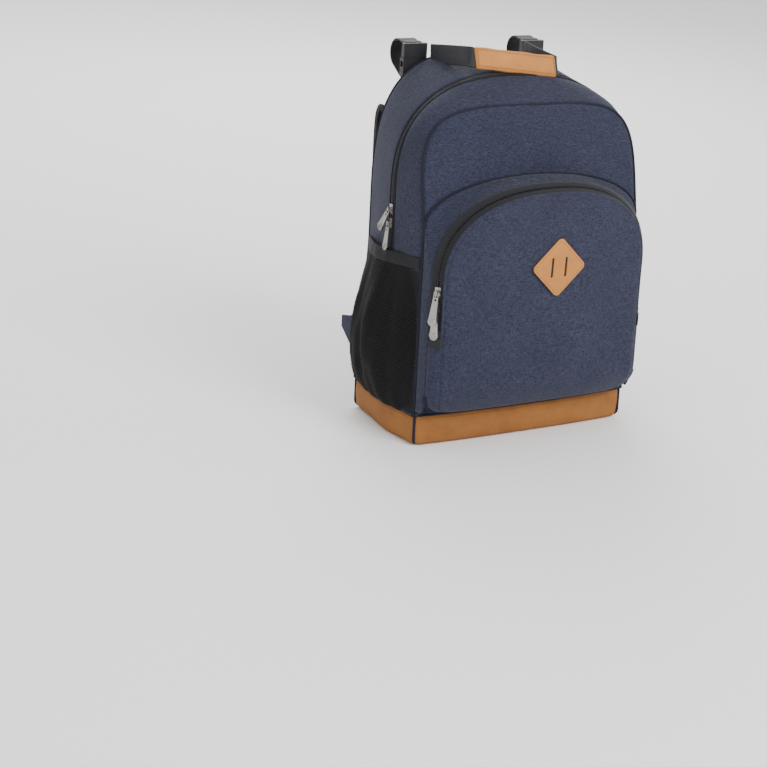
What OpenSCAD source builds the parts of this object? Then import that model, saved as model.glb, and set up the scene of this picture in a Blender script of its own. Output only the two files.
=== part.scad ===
// Backpack-style diaper bag. It has an arched main compartment that opens as a flap, a front
// pocket, two mesh side pockets, a carry handle, padded shoulder straps and two short straps
// that buckle round a handlebar. The origin is the centre of the flat underside, +Z is up,
// the front faces -Y and the wearer's side faces +Y. All sizes are in millimetres.

/* [Bag body] */
// Width of the front face
front_w = 300; // [250:1:370]
// How far each side swells from the front face to the main zip
side_swell = 10; // [4:1:16]
// Height of the back
bag_h = 452; // [400:1:560]
// Depth from the back to the foot of the front face
bag_d = 156; // [125:1:195]
// Height of the arched part of the body
arch_h = 180; // [150:1:215]
// Height of the straight legs of the main zip
zip_leg_h = 305; // [290:1:320]
// Distance from the front face's foot back to the main zip
zip_setback = 63; // [50:1:80]
// How far the top of the front face leans back
front_lean = 25; // [10:1:35]
// How far the front face is crowned
front_bow = 7; // [3:1:12]
// Thickness of the lined fabric walls
wall = 2; // [1.2:0.1:3]
// Thickness of the foam-filled back panel
back_t = 4; // [3:0.5:6]
// Height of the band round the foot
band_h = 38; // [30:1:50]
// Height of the line where the top flap folds down
flap_hinge_h = 333; // [328:1:350]

/* [Front pocket] */
// Height of the pocket's top seam
pocket_h = 328; // [300:1:328]
// Height of the straight legs of the pocket's zip
pocket_leg_h = 212; // [206:1:220]
// Height where the pocket's zip starts on each side
pocket_zip_h = 146; // [120:1:170]
// How far the pocket's zip stands in front of the face at the sides
pocket_d = 30; // [24:1:40]
// How much further it stands out at the top
pocket_swell = 11; // [6:1:20]
// Crown of the pocket's front
pocket_bow = 5; // [3:1:8]
// Side of the square leather patch
patch_side = 54; // [40:1:64]
// Thickness of the patch
patch_t = 1.6; // [1:0.1:2.5]
// Length of the two slots in the patch
slot_l = 25; // [18:1:30]
// Width of the two slots in the patch
slot_w = 3; // [2:0.2:4]

/* [Zips] */
// Width of each half of the main zip's tape
tape_w = 5; // [4.6:0.1:8]
// Width of each half of the pocket zip's tape
pocket_tape_w = 9; // [7:0.5:11]
// Width of each row of teeth
teeth_w = 1.8; // [1.2:0.1:2.4]
// Length of a slider
slider_l = 12; // [10:0.5:14]
// Length of each pull of the main zip
main_pull_l = 33; // [26:1:34]
// Length of each pull of the pocket's zip
pocket_pull_l = 39; // [30:1:40]

/* [Carry handle] */
// Distance between the handle's two legs
handle_w = 124; // [100:1:128]
// How far the handle reaches forward from its seam
handle_reach = 84; // [70:1:84]
// Width of the webbing of the handle
handle_web_w = 25; // [20:1:30]
// Thickness of the leather grip
grip_t = 9; // [7:0.5:11]

/* [Side pockets] */
// How far the mesh bellies out
mesh_bulge = 17; // [10:1:24]
// Gap at the elastic mouth
mouth_bulge = 8; // [7:0.5:11]
// Height of the mouth at the front edge
mouth_front_h = 236; // [200:1:238]
// Height of the mouth at the back edge
mouth_back_h = 218; // [190:1:222]
// Height of the elastic hem
hem_h = 15; // [10:1:20]
// Thickness of the mesh
mesh_t = 1.2; // [0.8:0.1:1.6]

/* [Shoulder straps] */
// Width of each padded strap
pad_w = 58; // [50:1:70]
// Thickness of each padded strap
pad_t = 12; // [9:0.5:15]
// Distance of each strap from the centre line
pad_x = 96; // [85:1:110]
// How far the straps stand behind the back
pad_reach = 26; // [20:1:36]
// Width of the straps' lower webbing
tail_w = 25; // [20:1:30]

/* [Handlebar straps] */
// Distance of each handlebar strap from the centre line
bar_strap_x = 85; // [85:1:95]
// Width of the handlebar straps' webbing
bar_web_w = 25; // [20:1:25]
// Largest handlebar that the loop goes round
bar_dia = 32; // [25:1:34]
// Travel of a buckle's prong out of its socket
prong_travel = 16; // [14:1:18]

/* [Hidden] */
$fn = 48;

// Colours of the cloth, leather, webbing and metal
navy = [0.20, 0.22, 0.31];
tan = [0.72, 0.53, 0.34];
black = [0.08, 0.08, 0.09];
silver = [0.80, 0.80, 0.80];

// Clearance between sewn neighbours
gap = 0.3;
// Half of the gap between the two rows of teeth, which takes a slider's web
half_gap = 0.8;
// Segments across an arch, and down a leg
arch_n = 28;
leg_n = 4;
eps = 0.01;

// Planes of the body
y_back = bag_d / 2;
y_foot = -bag_d / 2;
y_zip = y_foot + zip_setback;
zip_hw = front_w / 2 + side_swell;
back_hw = front_w / 2 + 0.3 * side_swell;

// A station is one arched rib of the shell:
// [half width, height of the legs, height of the top, roundness, depth of the legs,
//  depth of the top, crown, height where the depth starts to change, how late it changes]
arch_foot = bag_h - arch_h;
st_back = [back_hw, arch_foot, bag_h, 3, y_back, y_back, 0, arch_foot, 1];
st_zip = [zip_hw, zip_leg_h, bag_h - 12, 2.45, y_zip, y_zip, 0, arch_foot, 1];
st_front = [front_w / 2, arch_foot, bag_h - 43, 4.5, y_foot, y_foot + front_lean,
            front_bow, arch_foot, 1];

function mix(a, b, f) = a + (b - a) * f;
function clamp(v) = min(1, max(0, v));
function half_width(s, z) = z <= s[1] ? s[0]
    : s[0] * pow(max(0, 1 - pow((z - s[1]) / (s[2] - s[1]), s[3])), 1 / s[3]);
function depth(s, x, z) = mix(s[4], s[5], pow(clamp((z - s[7]) / (s[2] - s[7])), s[8]))
    - s[6] * (1 - pow(x / s[0], 2));
function spot(s, x, z) = [x, depth(s, x, z), z];
function inset(s, t) = s - [t, 0, t, 0, 0, 0, 0, 0, 0];
function shift(s, d) = s + [0, 0, 0, 0, d, d, 0, 0, 0];

// Heights from z0 to z1 that keep a rib's bend at zk as one of the rows
function levels(z0, z1, zk, n) = zk <= z0 || zk >= z1 ? [for (i = [0:n]) mix(z0, z1, i / n)]
    : concat([for (i = [0:n - 1]) mix(z0, zk, i / n)], [for (i = [0:n]) mix(zk, z1, i / n)]);

// One side of a rib, from z0 to z1
function rib_leg(s, side, z0, z1) =
    [for (z = levels(z0, z1, arch_foot, leg_n)) spot(s, side * half_width(s, z), z)];
// A rib from z0 on the left, over the top, to z0 on the right
function rib_reach(s, a) = pow(pow(abs(cos(a)) / s[0], s[3])
    + pow(abs(sin(a)) / (s[2] - s[1]), s[3]), -1 / s[3]);
function rib_arc(s, a0, n) = [for (i = [0:n]) let (
    a = 180 - a0 - (180 - 2 * a0) * i / n,
    r = rib_reach(s, a),
    x = r * cos(a),
    z = s[1] + r * sin(a)) spot(s, x, z)];
function rib(s, z0, n = arch_n) = z0 < s[1]
    ? concat([spot(s, -s[0], z0)], rib_arc(s, 0, n), [spot(s, s[0], z0)])
    : rib_arc(s, atan2(z0 - s[1], half_width(s, z0)), n + 2);

// Stations at a distance behind the main zip, and in front of it
rear_run = y_back - y_zip;
function behind(d) = mix(st_zip, st_back, d / rear_run);
function ahead(d) = mix(st_zip, st_front, d / zip_setback);

// The gusset stops behind the face, which the front panel covers
st_front_seam = shift(st_front, wall + gap);

// The face of the front pocket, and its zip
pocket_face_angle = 37;
tape_in = pocket_tape_w * sin(pocket_face_angle);
tape_out = pocket_tape_w * cos(pocket_face_angle);
st_zip_line = [front_w / 2 - tape_in - 1, pocket_leg_h, pocket_h - tape_in - 2.5, 2.35,
               y_foot - pocket_d, y_foot - pocket_d - pocket_swell, 0, pocket_zip_h, 3];
st_rear_tape = st_zip_line + [tape_in, 0, tape_in, 0, tape_out, tape_out, 0, 0, 0];
st_pocket = st_zip_line + [-tape_in, 0, -tape_in, 0, -tape_out, -tape_out, pocket_bow, 0, 0];
seam_drop = 56;
st_seam = [front_w / 2, min(arch_foot, pocket_h - seam_drop), pocket_h, 2.1, y_foot, y_foot, 0,
           arch_foot, 1];
pocket_foot = band_h + 8;
pocket_rise = 45;
function toward(d) = mix(st_zip_line, d > 0 ? st_pocket : st_rear_tape, abs(d) / pocket_tape_w);

// A closed solid between two matching grids of points, each a list of rows
module shell(outer, inner) {
    rows = len(outer);
    cols = len(outer[0]);
    far = rows * cols;
    function at(r, c) = r * cols + c;
    function quad(a, b, c, d) = [[a, b, c], [a, c, d]];
    points = concat([for (row = outer) each row], [for (row = inner) each row]);
    faces = concat(
        [for (r = [0:rows - 2], c = [0:cols - 2])
            each quad(at(r, c), at(r, c + 1), at(r + 1, c + 1), at(r + 1, c))],
        [for (r = [0:rows - 2], c = [0:cols - 2])
            each quad(far + at(r, c), far + at(r + 1, c), far + at(r + 1, c + 1),
                      far + at(r, c + 1))],
        [for (r = [0:rows - 2]) each quad(at(r, 0), at(r + 1, 0), far + at(r + 1, 0),
                                          far + at(r, 0))],
        [for (r = [0:rows - 2]) each quad(at(r + 1, cols - 1), at(r, cols - 1),
                                          far + at(r, cols - 1), far + at(r + 1, cols - 1))],
        [for (c = [0:cols - 2]) each quad(at(0, c + 1), at(0, c), far + at(0, c),
                                          far + at(0, c + 1))],
        [for (c = [0:cols - 2]) each quad(at(rows - 1, c), at(rows - 1, c + 1),
                                          far + at(rows - 1, c + 1), far + at(rows - 1, c))]);
    polyhedron(points, faces);
}

// A strip of the arched shell between two stations, from z0 over the top
module arch_strip(rear, front, z0, t) {
    shell([rib(front, z0), rib(rear, z0)], [rib(inset(front, t), z0), rib(inset(rear, t), z0)]);
}

// A strip down one side of the shell, from z0 to z1
module leg_strip(rear, front, side, z0, z1, t) {
    a = rib_leg(front, side, z0, z1);
    b = rib_leg(rear, side, z0, z1);
    c = rib_leg(inset(front, t), side, z0, z1);
    d = rib_leg(inset(rear, t), side, z0, z1);
    if (side < 0) shell([a, b], [c, d]);
    else shell([b, a], [d, c]);
}

// A face panel above z0, with level rows that end on the rib's own points
module arched_panel(s, z0, t) {
    cols = 14;
    edge = rib(s, z0);
    left = [for (i = [0:(len(edge) - 3) / 2]) edge[i]];
    function face(d) = [for (p = left)
        [for (c = [0:cols]) spot(s, mix(p[0], -p[0], c / cols), p[2]) + [0, d, 0]]];
    shell(face(0), face(t));
}

module rounded_rect(w, h, r) {
    union() {
        square([w - 2 * r, h], center = true);
        square([w, h - 2 * r], center = true);
        for (x = [-1, 1], y = [-1, 1]) translate([x * (w / 2 - r), y * (h / 2 - r)]) circle(r);
    }
}

// A flat band that follows points [y, z], square to the x axis
module band(path, w, t) {
    last = len(path) - 1;
    function way(i) = path[min(last, i + 1)] - path[max(0, i - 1)];
    function side(i) = let (d = way(i)) [-d[1], d[0]] / norm(d) * t / 2;
    function row(x, k) = [for (i = [0:last]) let (p = path[i] + k * side(i)) [x, p[0], p[1]]];
    shell([row(-w / 2, 1), row(w / 2, 1)], [row(-w / 2, -1), row(w / 2, -1)]);
}

// ---- Back, sides and base ----

// Plan outline of the body at its foot, drawn in by t
function side_at(y) = y < y_zip ? mix(front_w / 2, zip_hw, (y - y_foot) / zip_setback)
    : mix(zip_hw, back_hw, (y - y_zip) / rear_run);
function foot_outline(t) = concat(
    [for (i = [0:16]) let (x = mix(-1, 1, i / 16) * (front_w / 2 - t))
        [x, y_foot + t - front_bow * (1 - pow(x / (front_w / 2), 2))]],
    [[zip_hw - t, y_zip], [back_hw - t, y_back - t], [-back_hw + t, y_back - t],
     [-zip_hw + t, y_zip]]);

module back_panel() {
    color(black) translate([0, y_back, 0]) rotate([90, 0, 0]) linear_extrude(back_t)
        polygon([for (p = rib(st_back, band_h + gap)) [p[0], p[2]]]);
}

back_pad_t = 6;
module back_pad() {
    pad_low = band_h + 26;
    pad_high = bag_h - 66;
    color(black) translate([0, y_back + gap + back_pad_t, (pad_low + pad_high) / 2])
        rotate([90, 0, 0]) linear_extrude(back_pad_t)
        rounded_rect(2 * (pad_x - pad_w / 2) - 12, pad_high - pad_low, 30);
}

module rear_gusset() {
    color(navy) arch_strip(behind(rear_run - back_t - gap), behind(tape_w + gap),
                           zip_foot_h + gap, wall);
}

// The main zip ends here, behind the mesh pockets' mouths
zip_foot_h = mouth_back_h - hem_h + 8;
module side_panel(side) {
    low = band_h + gap;
    ys = [y_foot + wall + gap, y_zip, y_back - back_t - gap];
    outer = [for (y = ys) [side * side_at(y), y]];
    inner = [for (i = [2:-1:0]) [side * (side_at(ys[i]) - wall), ys[i]]];
    color(navy) translate([0, 0, low]) linear_extrude(zip_foot_h - low)
        polygon(concat(outer, inner));
}
module side_panel_left() { side_panel(-1); }
module side_panel_right() { side_panel(1); }

module front_gusset(side) {
    color(navy) leg_strip(ahead(tape_w + gap), st_front_seam, side,
                          zip_foot_h + gap, flap_hinge_h - gap, wall);
}
module front_gusset_left() { front_gusset(-1); }
module front_gusset_right() { front_gusset(1); }

module front_panel() {
    cols = 20;
    function face(d) = [for (z = levels(band_h + gap, flap_hinge_h - gap, arch_foot, leg_n))
        let (w = half_width(st_front, z))
        [for (c = [0:cols]) spot(st_front, mix(-w, w, c / cols), z) + [0, d, 0]]];
    color(navy) shell(face(0), face(wall));
}

base_floor = 2.5;
module base_panel() {
    color(tan) difference() {
        linear_extrude(band_h) polygon(foot_outline(0));
        translate([0, 0, base_floor]) linear_extrude(band_h) polygon(foot_outline(wall));
    }
}

board_t = 2;
module base_board() {
    color(black) translate([0, 0, base_floor]) linear_extrude(board_t)
        polygon(foot_outline(wall + 2));
}

// A gathered sleeve on the inside of the back, for bottles
inner_d = 24;
inner_low = 60;
inner_high = 190;
module inner_pocket() {
    w = front_w - 60;
    rear = y_back - back_t - gap;
    color(black) difference() {
        translate([-w / 2, rear - inner_d, inner_low]) cube([w, inner_d, inner_high - inner_low]);
        translate([-w / 2 + 1.5, rear - inner_d + 1.5, inner_low + 1.5])
            cube([w - 3, inner_d, inner_high]);
    }
}

// ---- Top flap ----

module flap_gusset() {
    color(navy) arch_strip(ahead(tape_w + gap), st_front_seam,
                           flap_hinge_h + gap, wall);
}

module flap_panel() {
    color(navy) arched_panel(st_front, flap_hinge_h + gap, wall);
}

// ---- Main zip ----

tape_t = 1;
module main_zip_tape_rear() {
    color(black) arch_strip(behind(tape_w), behind(half_gap + teeth_w + gap),
                            zip_foot_h + gap, tape_t);
}
module main_zip_teeth_rear() {
    color(black) arch_strip(behind(half_gap + teeth_w), behind(half_gap),
                            zip_foot_h + gap, tape_t);
}
module main_zip_tape_legs() {
    for (side = [-1, 1]) color(black)
        leg_strip(ahead(half_gap + teeth_w + gap), ahead(tape_w), side,
                  zip_foot_h + gap, flap_hinge_h - gap, tape_t);
}
module main_zip_teeth_legs() {
    for (side = [-1, 1]) color(black)
        leg_strip(ahead(half_gap), ahead(half_gap + teeth_w), side,
                  zip_foot_h + gap, flap_hinge_h - gap, tape_t);
}
module main_zip_tape_flap() {
    color(black) arch_strip(ahead(half_gap + teeth_w + gap), ahead(tape_w),
                            flap_hinge_h + gap, tape_t);
}
module main_zip_teeth_flap() {
    color(black) arch_strip(ahead(half_gap), ahead(half_gap + teeth_w),
                            flap_hinge_h + gap, tape_t);
}

// A slider, made for a tape whose outside faces -Y: its web runs between the rows of teeth,
// and its bridge stands out to -Y. The origin is on the tape's outside at the slider's middle.
plate_t = 1;
plate_w = 7.2;
slide_gap = 0.6;
inner_gap = 0.9;
web_t = 1;
pivot_out = 4.2;
pivot_r = 0.8;
bridge_w = 2;
bridge_l = 5;
bridge_hole_r = pivot_r + 0.7;
bridge_out = pivot_out + bridge_hole_r + 0.7;
module slider() {
    out = slide_gap + plate_t;
    color(silver) {
        difference() {
            union() {
                translate([-plate_w / 2, -out, -slider_l / 2]) cube([plate_w, plate_t, slider_l]);
                translate([-bridge_w / 2, -bridge_out, -bridge_l / 2])
                    cube([bridge_w, bridge_out - out + eps, bridge_l]);
            }
            translate([-bridge_w, -pivot_out, 0]) rotate([0, 90, 0])
                cylinder(r = bridge_hole_r, h = 2 * bridge_w);
        }
        translate([-web_t / 2, -out, -slider_l / 2])
            cube([web_t, out + tape_t + inner_gap + plate_t, slider_l]);
        translate([0.5 - plate_w / 2, tape_t + inner_gap, -slider_l / 2])
            cube([plate_w - 1, plate_t, slider_l]);
    }
}

// A pull: two ears carry the pin that runs through the slider's bridge, and a tapered plate
// with a round end hangs from them. The origin is the pin's centre.
pull_t = 1.6;
pull_end_r = 5.4;
ear_t = 1;
ear_x = bridge_w / 2 + 1.2;
module pull(pull_l) {
    body_top = 5.6;
    color(silver) {
        rotate([0, 90, 0]) cylinder(r = pivot_r, h = 2 * (ear_x + ear_t), center = true);
        for (side = [-1, 1])
            translate([side * (ear_x + ear_t / 2) - ear_t / 2, -pull_t / 2, -body_top])
            cube([ear_t, pull_t, body_top + 1.2]);
        translate([0, pull_t / 2, 0]) rotate([90, 0, 0]) linear_extrude(pull_t) difference() {
            union() {
                polygon([[-ear_x - ear_t, -body_top + eps], [ear_x + ear_t, -body_top + eps],
                         [pull_end_r - 0.6, pull_end_r - pull_l + 2],
                         [-pull_end_r + 0.6, pull_end_r - pull_l + 2]]);
                translate([0, pull_end_r - pull_l]) circle(pull_end_r);
            }
            translate([0, -body_top - 3]) circle(1.3);
        }
    }
}

// Each slider's place: height, and the pull's lean towards the back and away from the cloth
main_upper_h = 281;
main_lower_h = 264;
main_lean = 30;
main_turn = 2.4;
main_lift = 6;
module on_main_zip(h) {
    translate([-zip_hw, y_zip, h]) rotate([0, 0, main_turn - 90]) children();
}
module main_slider_upper() { on_main_zip(main_upper_h) slider(); }
module main_slider_lower() { on_main_zip(main_lower_h) slider(); }
module main_pull_upper() {
    on_main_zip(main_upper_h) translate([0, -pivot_out, 0])
        rotate([0, main_lean, 0]) rotate([-main_lift, 0, 0]) pull(main_pull_l);
}
module main_pull_lower() {
    on_main_zip(main_lower_h) translate([0, -pivot_out, 0])
        rotate([-main_lift, 0, 0]) pull(main_pull_l);
}

// ---- Front pocket ----

// Share of the pocket's full depth at a height: it rises in a quarter round from the foot
function belly(z) = sqrt(1 - pow(1 - clamp((z - pocket_foot + 6) / pocket_rise), 2));
function on_face(x, z) = [x, depth(st_front, x, z) - gap, z];
function pulled_in(p) = mix(on_face(p[0], p[2]), p, belly(p[2]));

belly_n = 8;
belly_top = 200;
module pocket_gusset() {
    function low_leg(s, side) = [for (i = [0:belly_n]) let (z = mix(pocket_foot, belly_top, i / belly_n))
        pulled_in(spot(s, side * s[0], z))];
    function whole(s) = concat(low_leg(s, -1), rib_arc(s, 0, arch_n),
                               [for (i = [belly_n:-1:0]) low_leg(s, 1)[i]]);
    function seam_leg(t, side) = [for (i = [0:belly_n]) let (z = mix(pocket_foot, belly_top, i / belly_n))
        on_face(side * (st_seam[0] - t), z)];
    function seam(t) = concat(seam_leg(t, -1),
        [for (p = rib_arc(inset(st_seam, t), 0, arch_n)) on_face(p[0], p[2])],
        [for (i = [belly_n:-1:0]) seam_leg(t, 1)[i]]);
    front = shift(st_rear_tape, gap + tape_t * sin(pocket_face_angle));
    color(navy) shell([whole(front), seam(0)], [whole(inset(front, wall)), seam(wall)]);
}

module pocket_panel_lower() {
    rows = 10;
    cols = 16;
    corner = 26;
    high = pocket_zip_h - gap;
    function width_at(s, z) = let (u = clamp((z - pocket_foot) / corner))
        s[0] - corner + corner * sqrt(max(0, 1 - pow(1 - u, 2)));
    function wrap(side, t, z) = let (s = inset(st_rear_tape, t))
        pulled_in([side * (width_at(s, z)), s[4] - gap, z]);
    function face(t) = [for (r = [0:rows]) let (z = mix(pocket_foot, high, r / rows),
        w = width_at(st_pocket, z) - t)
        concat([wrap(-1, t, z)],
               [for (c = [0:cols]) let (p = spot(st_pocket, mix(-w, w, c / cols), z))
                   pulled_in(p) + [0, t, 0]],
               [wrap(1, t, z)])];
    color(navy) shell(face(0), face(wall));
}

module pocket_panel_flap() {
    color(navy) arched_panel(shift(st_pocket, gap), pocket_zip_h + gap, wall);
}

// A strip of the pocket's zip, from one distance from its middle line to another
function sunk(s) = shift(inset(s, tape_t * cos(pocket_face_angle)), tape_t * sin(pocket_face_angle));
module pocket_strip(d0, d1) {
    z0 = pocket_zip_h + gap;
    rear = toward(d0);
    front = toward(d1);
    shell([rib(front, z0), rib(rear, z0)], [rib(sunk(front), z0), rib(sunk(rear), z0)]);
}

module pocket_zip_tape_rear() {
    color(black) pocket_strip(-pocket_tape_w, -half_gap - teeth_w - gap);
}
module pocket_zip_teeth_rear() {
    color(black) pocket_strip(-half_gap - teeth_w, -half_gap);
}
// The flap's row starts above the sliders' reach, so that it swings out past their plates
module pocket_zip_teeth_flap() {
    reach = pocket_upper_h + slider_l / 2 + pocket_upper_run + gap;
    color(black) difference() {
        pocket_strip(half_gap, half_gap + teeth_w);
        translate([-front_w, -2 * bag_d, 0]) cube([front_w, 2 * bag_d, reach]);
    }
}
module pocket_zip_tape_flap() {
    color(black) pocket_strip(half_gap + teeth_w + gap, pocket_tape_w - 2.6);
}

module on_pocket_zip(side, h) {
    translate([side * st_zip_line[0], depth(st_zip_line, 0, h), h])
        rotate([0, 0, side * (90 - pocket_face_angle)]) children();
}

// Cloth squares that close the ends of the pocket's zip
tab_t = 1.2;
tab_h = 11;
module zip_end_tabs() {
    color(black) for (side = [-1, 1]) on_pocket_zip(side, pocket_zip_h - gap - tab_h)
        translate([1 - pocket_tape_w, -tab_t - gap, 0]) cube([2 * pocket_tape_w - 2, tab_t, tab_h]);
}

pocket_upper_h = 202;
pocket_upper_run = 6;
pocket_lower_h = 184;
pocket_lift_upper = 15;
pocket_lift_lower = 3;
module pocket_slider_upper() { on_pocket_zip(-1, pocket_upper_h) slider(); }
module pocket_slider_lower() { on_pocket_zip(-1, pocket_lower_h) slider(); }
module pocket_pull_upper() {
    on_pocket_zip(-1, pocket_upper_h) translate([0, -pivot_out, 0])
        rotate([-pocket_lift_upper, 0, 0]) pull(pocket_pull_l);
}
module pocket_pull_lower() {
    on_pocket_zip(-1, pocket_lower_h) translate([0, -pivot_out, 0])
        rotate([-pocket_lift_lower, 0, 0]) pull(pocket_pull_l);
}

// A square leather patch stood on its corner, with two slots for a lashing, a little to the
// right of the pocket's middle
patch_h = 223;
patch_x = 12;
slot_apart = 19;
module lash_patch() {
    reach = patch_side / sqrt(2);
    low = spot(st_pocket, patch_x, patch_h - reach);
    high = spot(st_pocket, patch_x, patch_h + reach);
    // It lies on the pocket's front, which curves forward towards the top
    color(tan) translate((low + high) / 2 - [0, gap, 0])
        rotate([90 + atan2(low[1] - high[1], 2 * reach), 0, 0]) linear_extrude(patch_t)
        difference() {
            rotate(45) rounded_rect(patch_side, patch_side, 6);
            for (side = [-1, 1]) translate([side * slot_apart / 2, 0])
                square([slot_w, slot_l], center = true);
        }
}

// ---- Mesh side pockets ----

mesh_y0 = y_foot + 2;
mesh_y1 = y_back - back_t - 1;
mesh_low = band_h - 2;
function mouth_at(y) = mix(mouth_front_h, mouth_back_h, (y - mesh_y0) / (mesh_y1 - mesh_y0));
function pleat(y) = exp(-pow((y - bag_d * 0.16) / (bag_d * 0.2), 2));
function across(y) = pow(max(0, sin(180 * (y - mesh_y0) / (mesh_y1 - mesh_y0))), 0.7);
function bellied(y, z) = let (u = clamp((z - mesh_low) / (mouth_at(y) - mesh_low)))
    across(y) * (mesh_bulge * pow(sin(180 * pow(u, 0.8)), 0.8) * (1 - 0.75 * pow(u, 4))
                 + mouth_bulge * pleat(y) * pow(u, 3) + 0.2);
module mesh_sheet(side, hem, t) {
    rows = hem ? 2 : 9;
    cols = 18;
    high_off = hem ? 0 : hem_h + gap;
    function face(d) = [for (r = [0:rows]) [for (c = [0:cols]) let (
        y = mix(mesh_y0, mesh_y1, c / cols),
        low = hem ? mouth_at(y) - hem_h : mesh_low,
        z = mix(low, mouth_at(y) - high_off, r / rows))
        [side * (side_at(y) + gap + bellied(y, z) + d), y, z]]];
    a = face(t);
    b = face(0);
    if (side < 0) shell([for (row = a) [for (i = [cols:-1:0]) row[i]]],
                        [for (row = b) [for (i = [cols:-1:0]) row[i]]]);
    else shell(a, b);
}
module mesh_pocket_left() { color(black) mesh_sheet(-1, false, mesh_t); }
module mesh_pocket_right() { color(black) mesh_sheet(1, false, mesh_t); }
module mesh_hem_left() { color(black) mesh_sheet(-1, true, mesh_t + 0.8); }
module mesh_hem_right() { color(black) mesh_sheet(1, true, mesh_t + 0.8); }

// ---- Carry handle ----

web_thick = 1.8;
handle_tilt = 7;
handle_y = y_back - 4;
handle_z = bag_h + 1;
handle_corner = 5;
grip_l = handle_w - 2 * (handle_corner + 1);
module on_handle() {
    translate([0, handle_y, handle_z]) rotate([handle_tilt, 0, 0]) children();
}
module handle_path(t) {
    difference() {
        translate([0, -handle_reach / 2])
            rounded_rect(handle_w + t, 2 * handle_reach / 2 + t, handle_corner + t / 2);
        translate([0, -handle_reach / 2])
            rounded_rect(handle_w - t, 2 * handle_reach / 2 - t, handle_corner - t / 2);
        translate([-handle_w, -handle_corner - 1]) square([2 * handle_w, 2 * handle_corner + 2]);
    }
    for (side = [-1, 1]) translate([side * handle_w / 2 - t / 2, -handle_corner - 1 - eps])
        square([t, handle_corner + 1 + eps]);
}
function top_at(s, x) = s[1] + (s[2] - s[1]) * pow(1 - pow(x / s[0], s[3]), 1 / s[3]);
handle_end_r = handle_z - top_at(st_back, handle_w / 2 - web_thick) - gap;
module handle_webbing() {
    color(black) {
        on_handle() linear_extrude(handle_web_w) handle_path(web_thick);
        for (side = [-1, 1]) translate([side * handle_w / 2, handle_y, handle_z])
            rotate([0, 90, 0]) cylinder(r = handle_end_r, h = web_thick + 0.6, center = true);
    }
}
module handle_grip() {
    wrap = 1.6;
    color(tan) on_handle() translate([0, -handle_reach, -wrap - gap]) difference() {
        linear_extrude(handle_web_w + 2 * (wrap + gap))
            translate([-grip_l / 2, -grip_t / 2]) square([grip_l, grip_t]);
        translate([0, 0, wrap]) linear_extrude(handle_web_w + 2 * gap)
            translate([-grip_l, -web_thick / 2 - gap]) square([2 * grip_l, web_thick + 2 * gap]);
    }
}

// ---- Shoulder straps ----

pad_top = bag_h - 62;
pad_low = 165;
pad_path = let (y0 = y_back + gap + pad_t / 2, y1 = y_back + pad_reach + pad_t / 2) [
    [y0, pad_top - 22], [y0 + 5, pad_top - 12], [y0 + 13, pad_top - 8], [y1 - 5, pad_top - 14],
    [y1, pad_top - 30], [y1 + 2, pad_top - 70], [y1, pad_top - 120],
    [y1 - 4, (pad_top + pad_low) / 2 - 30], [y1 - 8, pad_low]];
module shoulder_strap(side) {
    color(black) translate([side * pad_x, 0, 0]) band(pad_path, pad_w, pad_t);
}
module shoulder_strap_left() { shoulder_strap(-1); }
module shoulder_strap_right() { shoulder_strap(1); }

// The ladder lock hangs under the pad, and the tail webbing runs from it to the wing tab
lock_y = y_back + pad_reach + pad_t / 2 - 8;
lock_h = 24;
lock_w = 34;
lock_t = 7;
module ladder_lock(side) {
    low = pad_low - gap - lock_h;
    color(black) difference() {
        translate([side * pad_x - lock_w / 2, lock_y - lock_t / 2, low])
            cube([lock_w, lock_t, lock_h]);
        for (z = [low + 4, low + 12]) translate([side * pad_x - 14, lock_y - lock_t, z])
            cube([28, 2 * lock_t, 5]);
    }
}
module ladder_lock_left() { ladder_lock(-1); }
module ladder_lock_right() { ladder_lock(1); }

wing_reach = 46;
wing_low = 62;
wing_high = 120;
wing_t = 3;
wing_tip_h = 100;
module wing_tab(side) {
    x = side * (back_hw - 2.5);
    color(navy) translate([x - wing_t / 2, 0, 0]) rotate([90, 0, 90]) linear_extrude(wing_t)
        polygon([[y_back + gap, wing_low], [y_back + wing_reach, wing_tip_h - 9],
                 [y_back + wing_reach, wing_tip_h + 9], [y_back + gap, wing_high]]);
}
module wing_tab_left() { wing_tab(-1); }
module wing_tab_right() { wing_tab(1); }

module tail_webbing() {
    thick = 1.6;
    n = 10;
    top = [pad_x, lock_y, pad_low - gap - lock_h - gap];
    end = [back_hw - 2.5 - wing_t / 2 - gap - thick / 2, y_back + wing_reach - 14, wing_tip_h];
    // The webbing turns from flat against the back to flat against the wing tab
    function turn(f) = 90 * pow(sin(90 * f), 2);
    function way(f) = mix(top, end, f) - [0, 0, 10 * sin(180 * f)];
    function across(f) = [cos(turn(f)), 0.9 * sin(turn(f)), 0.42 * sin(turn(f))];
    function out(f) = [sin(turn(f)), -cos(turn(f)), 0];
    function row(k, m) = [for (i = [0:n]) let (f = i / n)
        way(f) + k * across(f) * tail_w / 2 + m * out(f) * thick / 2];
    color(black) shell([row(-1, 1), row(1, 1)], [row(-1, -1), row(1, -1)]);
}
module tail_webbing_left() { mirror([1, 0, 0]) tail_webbing(); }
module tail_webbing_right() { tail_webbing(); }

// ---- Handlebar straps ----

socket_y = y_back + 10.5;
socket_low = bag_h - 31;
socket_h = 23;
socket_w = 34;
socket_t = 9;
prong_h = 18;
bar_y = socket_y + socket_t / 2 + 1 + bar_dia / 2 + web_thick;
bar_z = socket_low + socket_h + 2;
loop_r = bar_dia / 2 + 1 + web_thick / 2;

module on_bar_strap(side) { translate([side * bar_strap_x, 0, 0]) children(); }

function on_loop(a) = [bar_y, bar_z] + loop_r * [cos(a), sin(a)];
loop_split = 51;
tab_y = y_back + gap + web_thick / 2 + 0.1;

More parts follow.
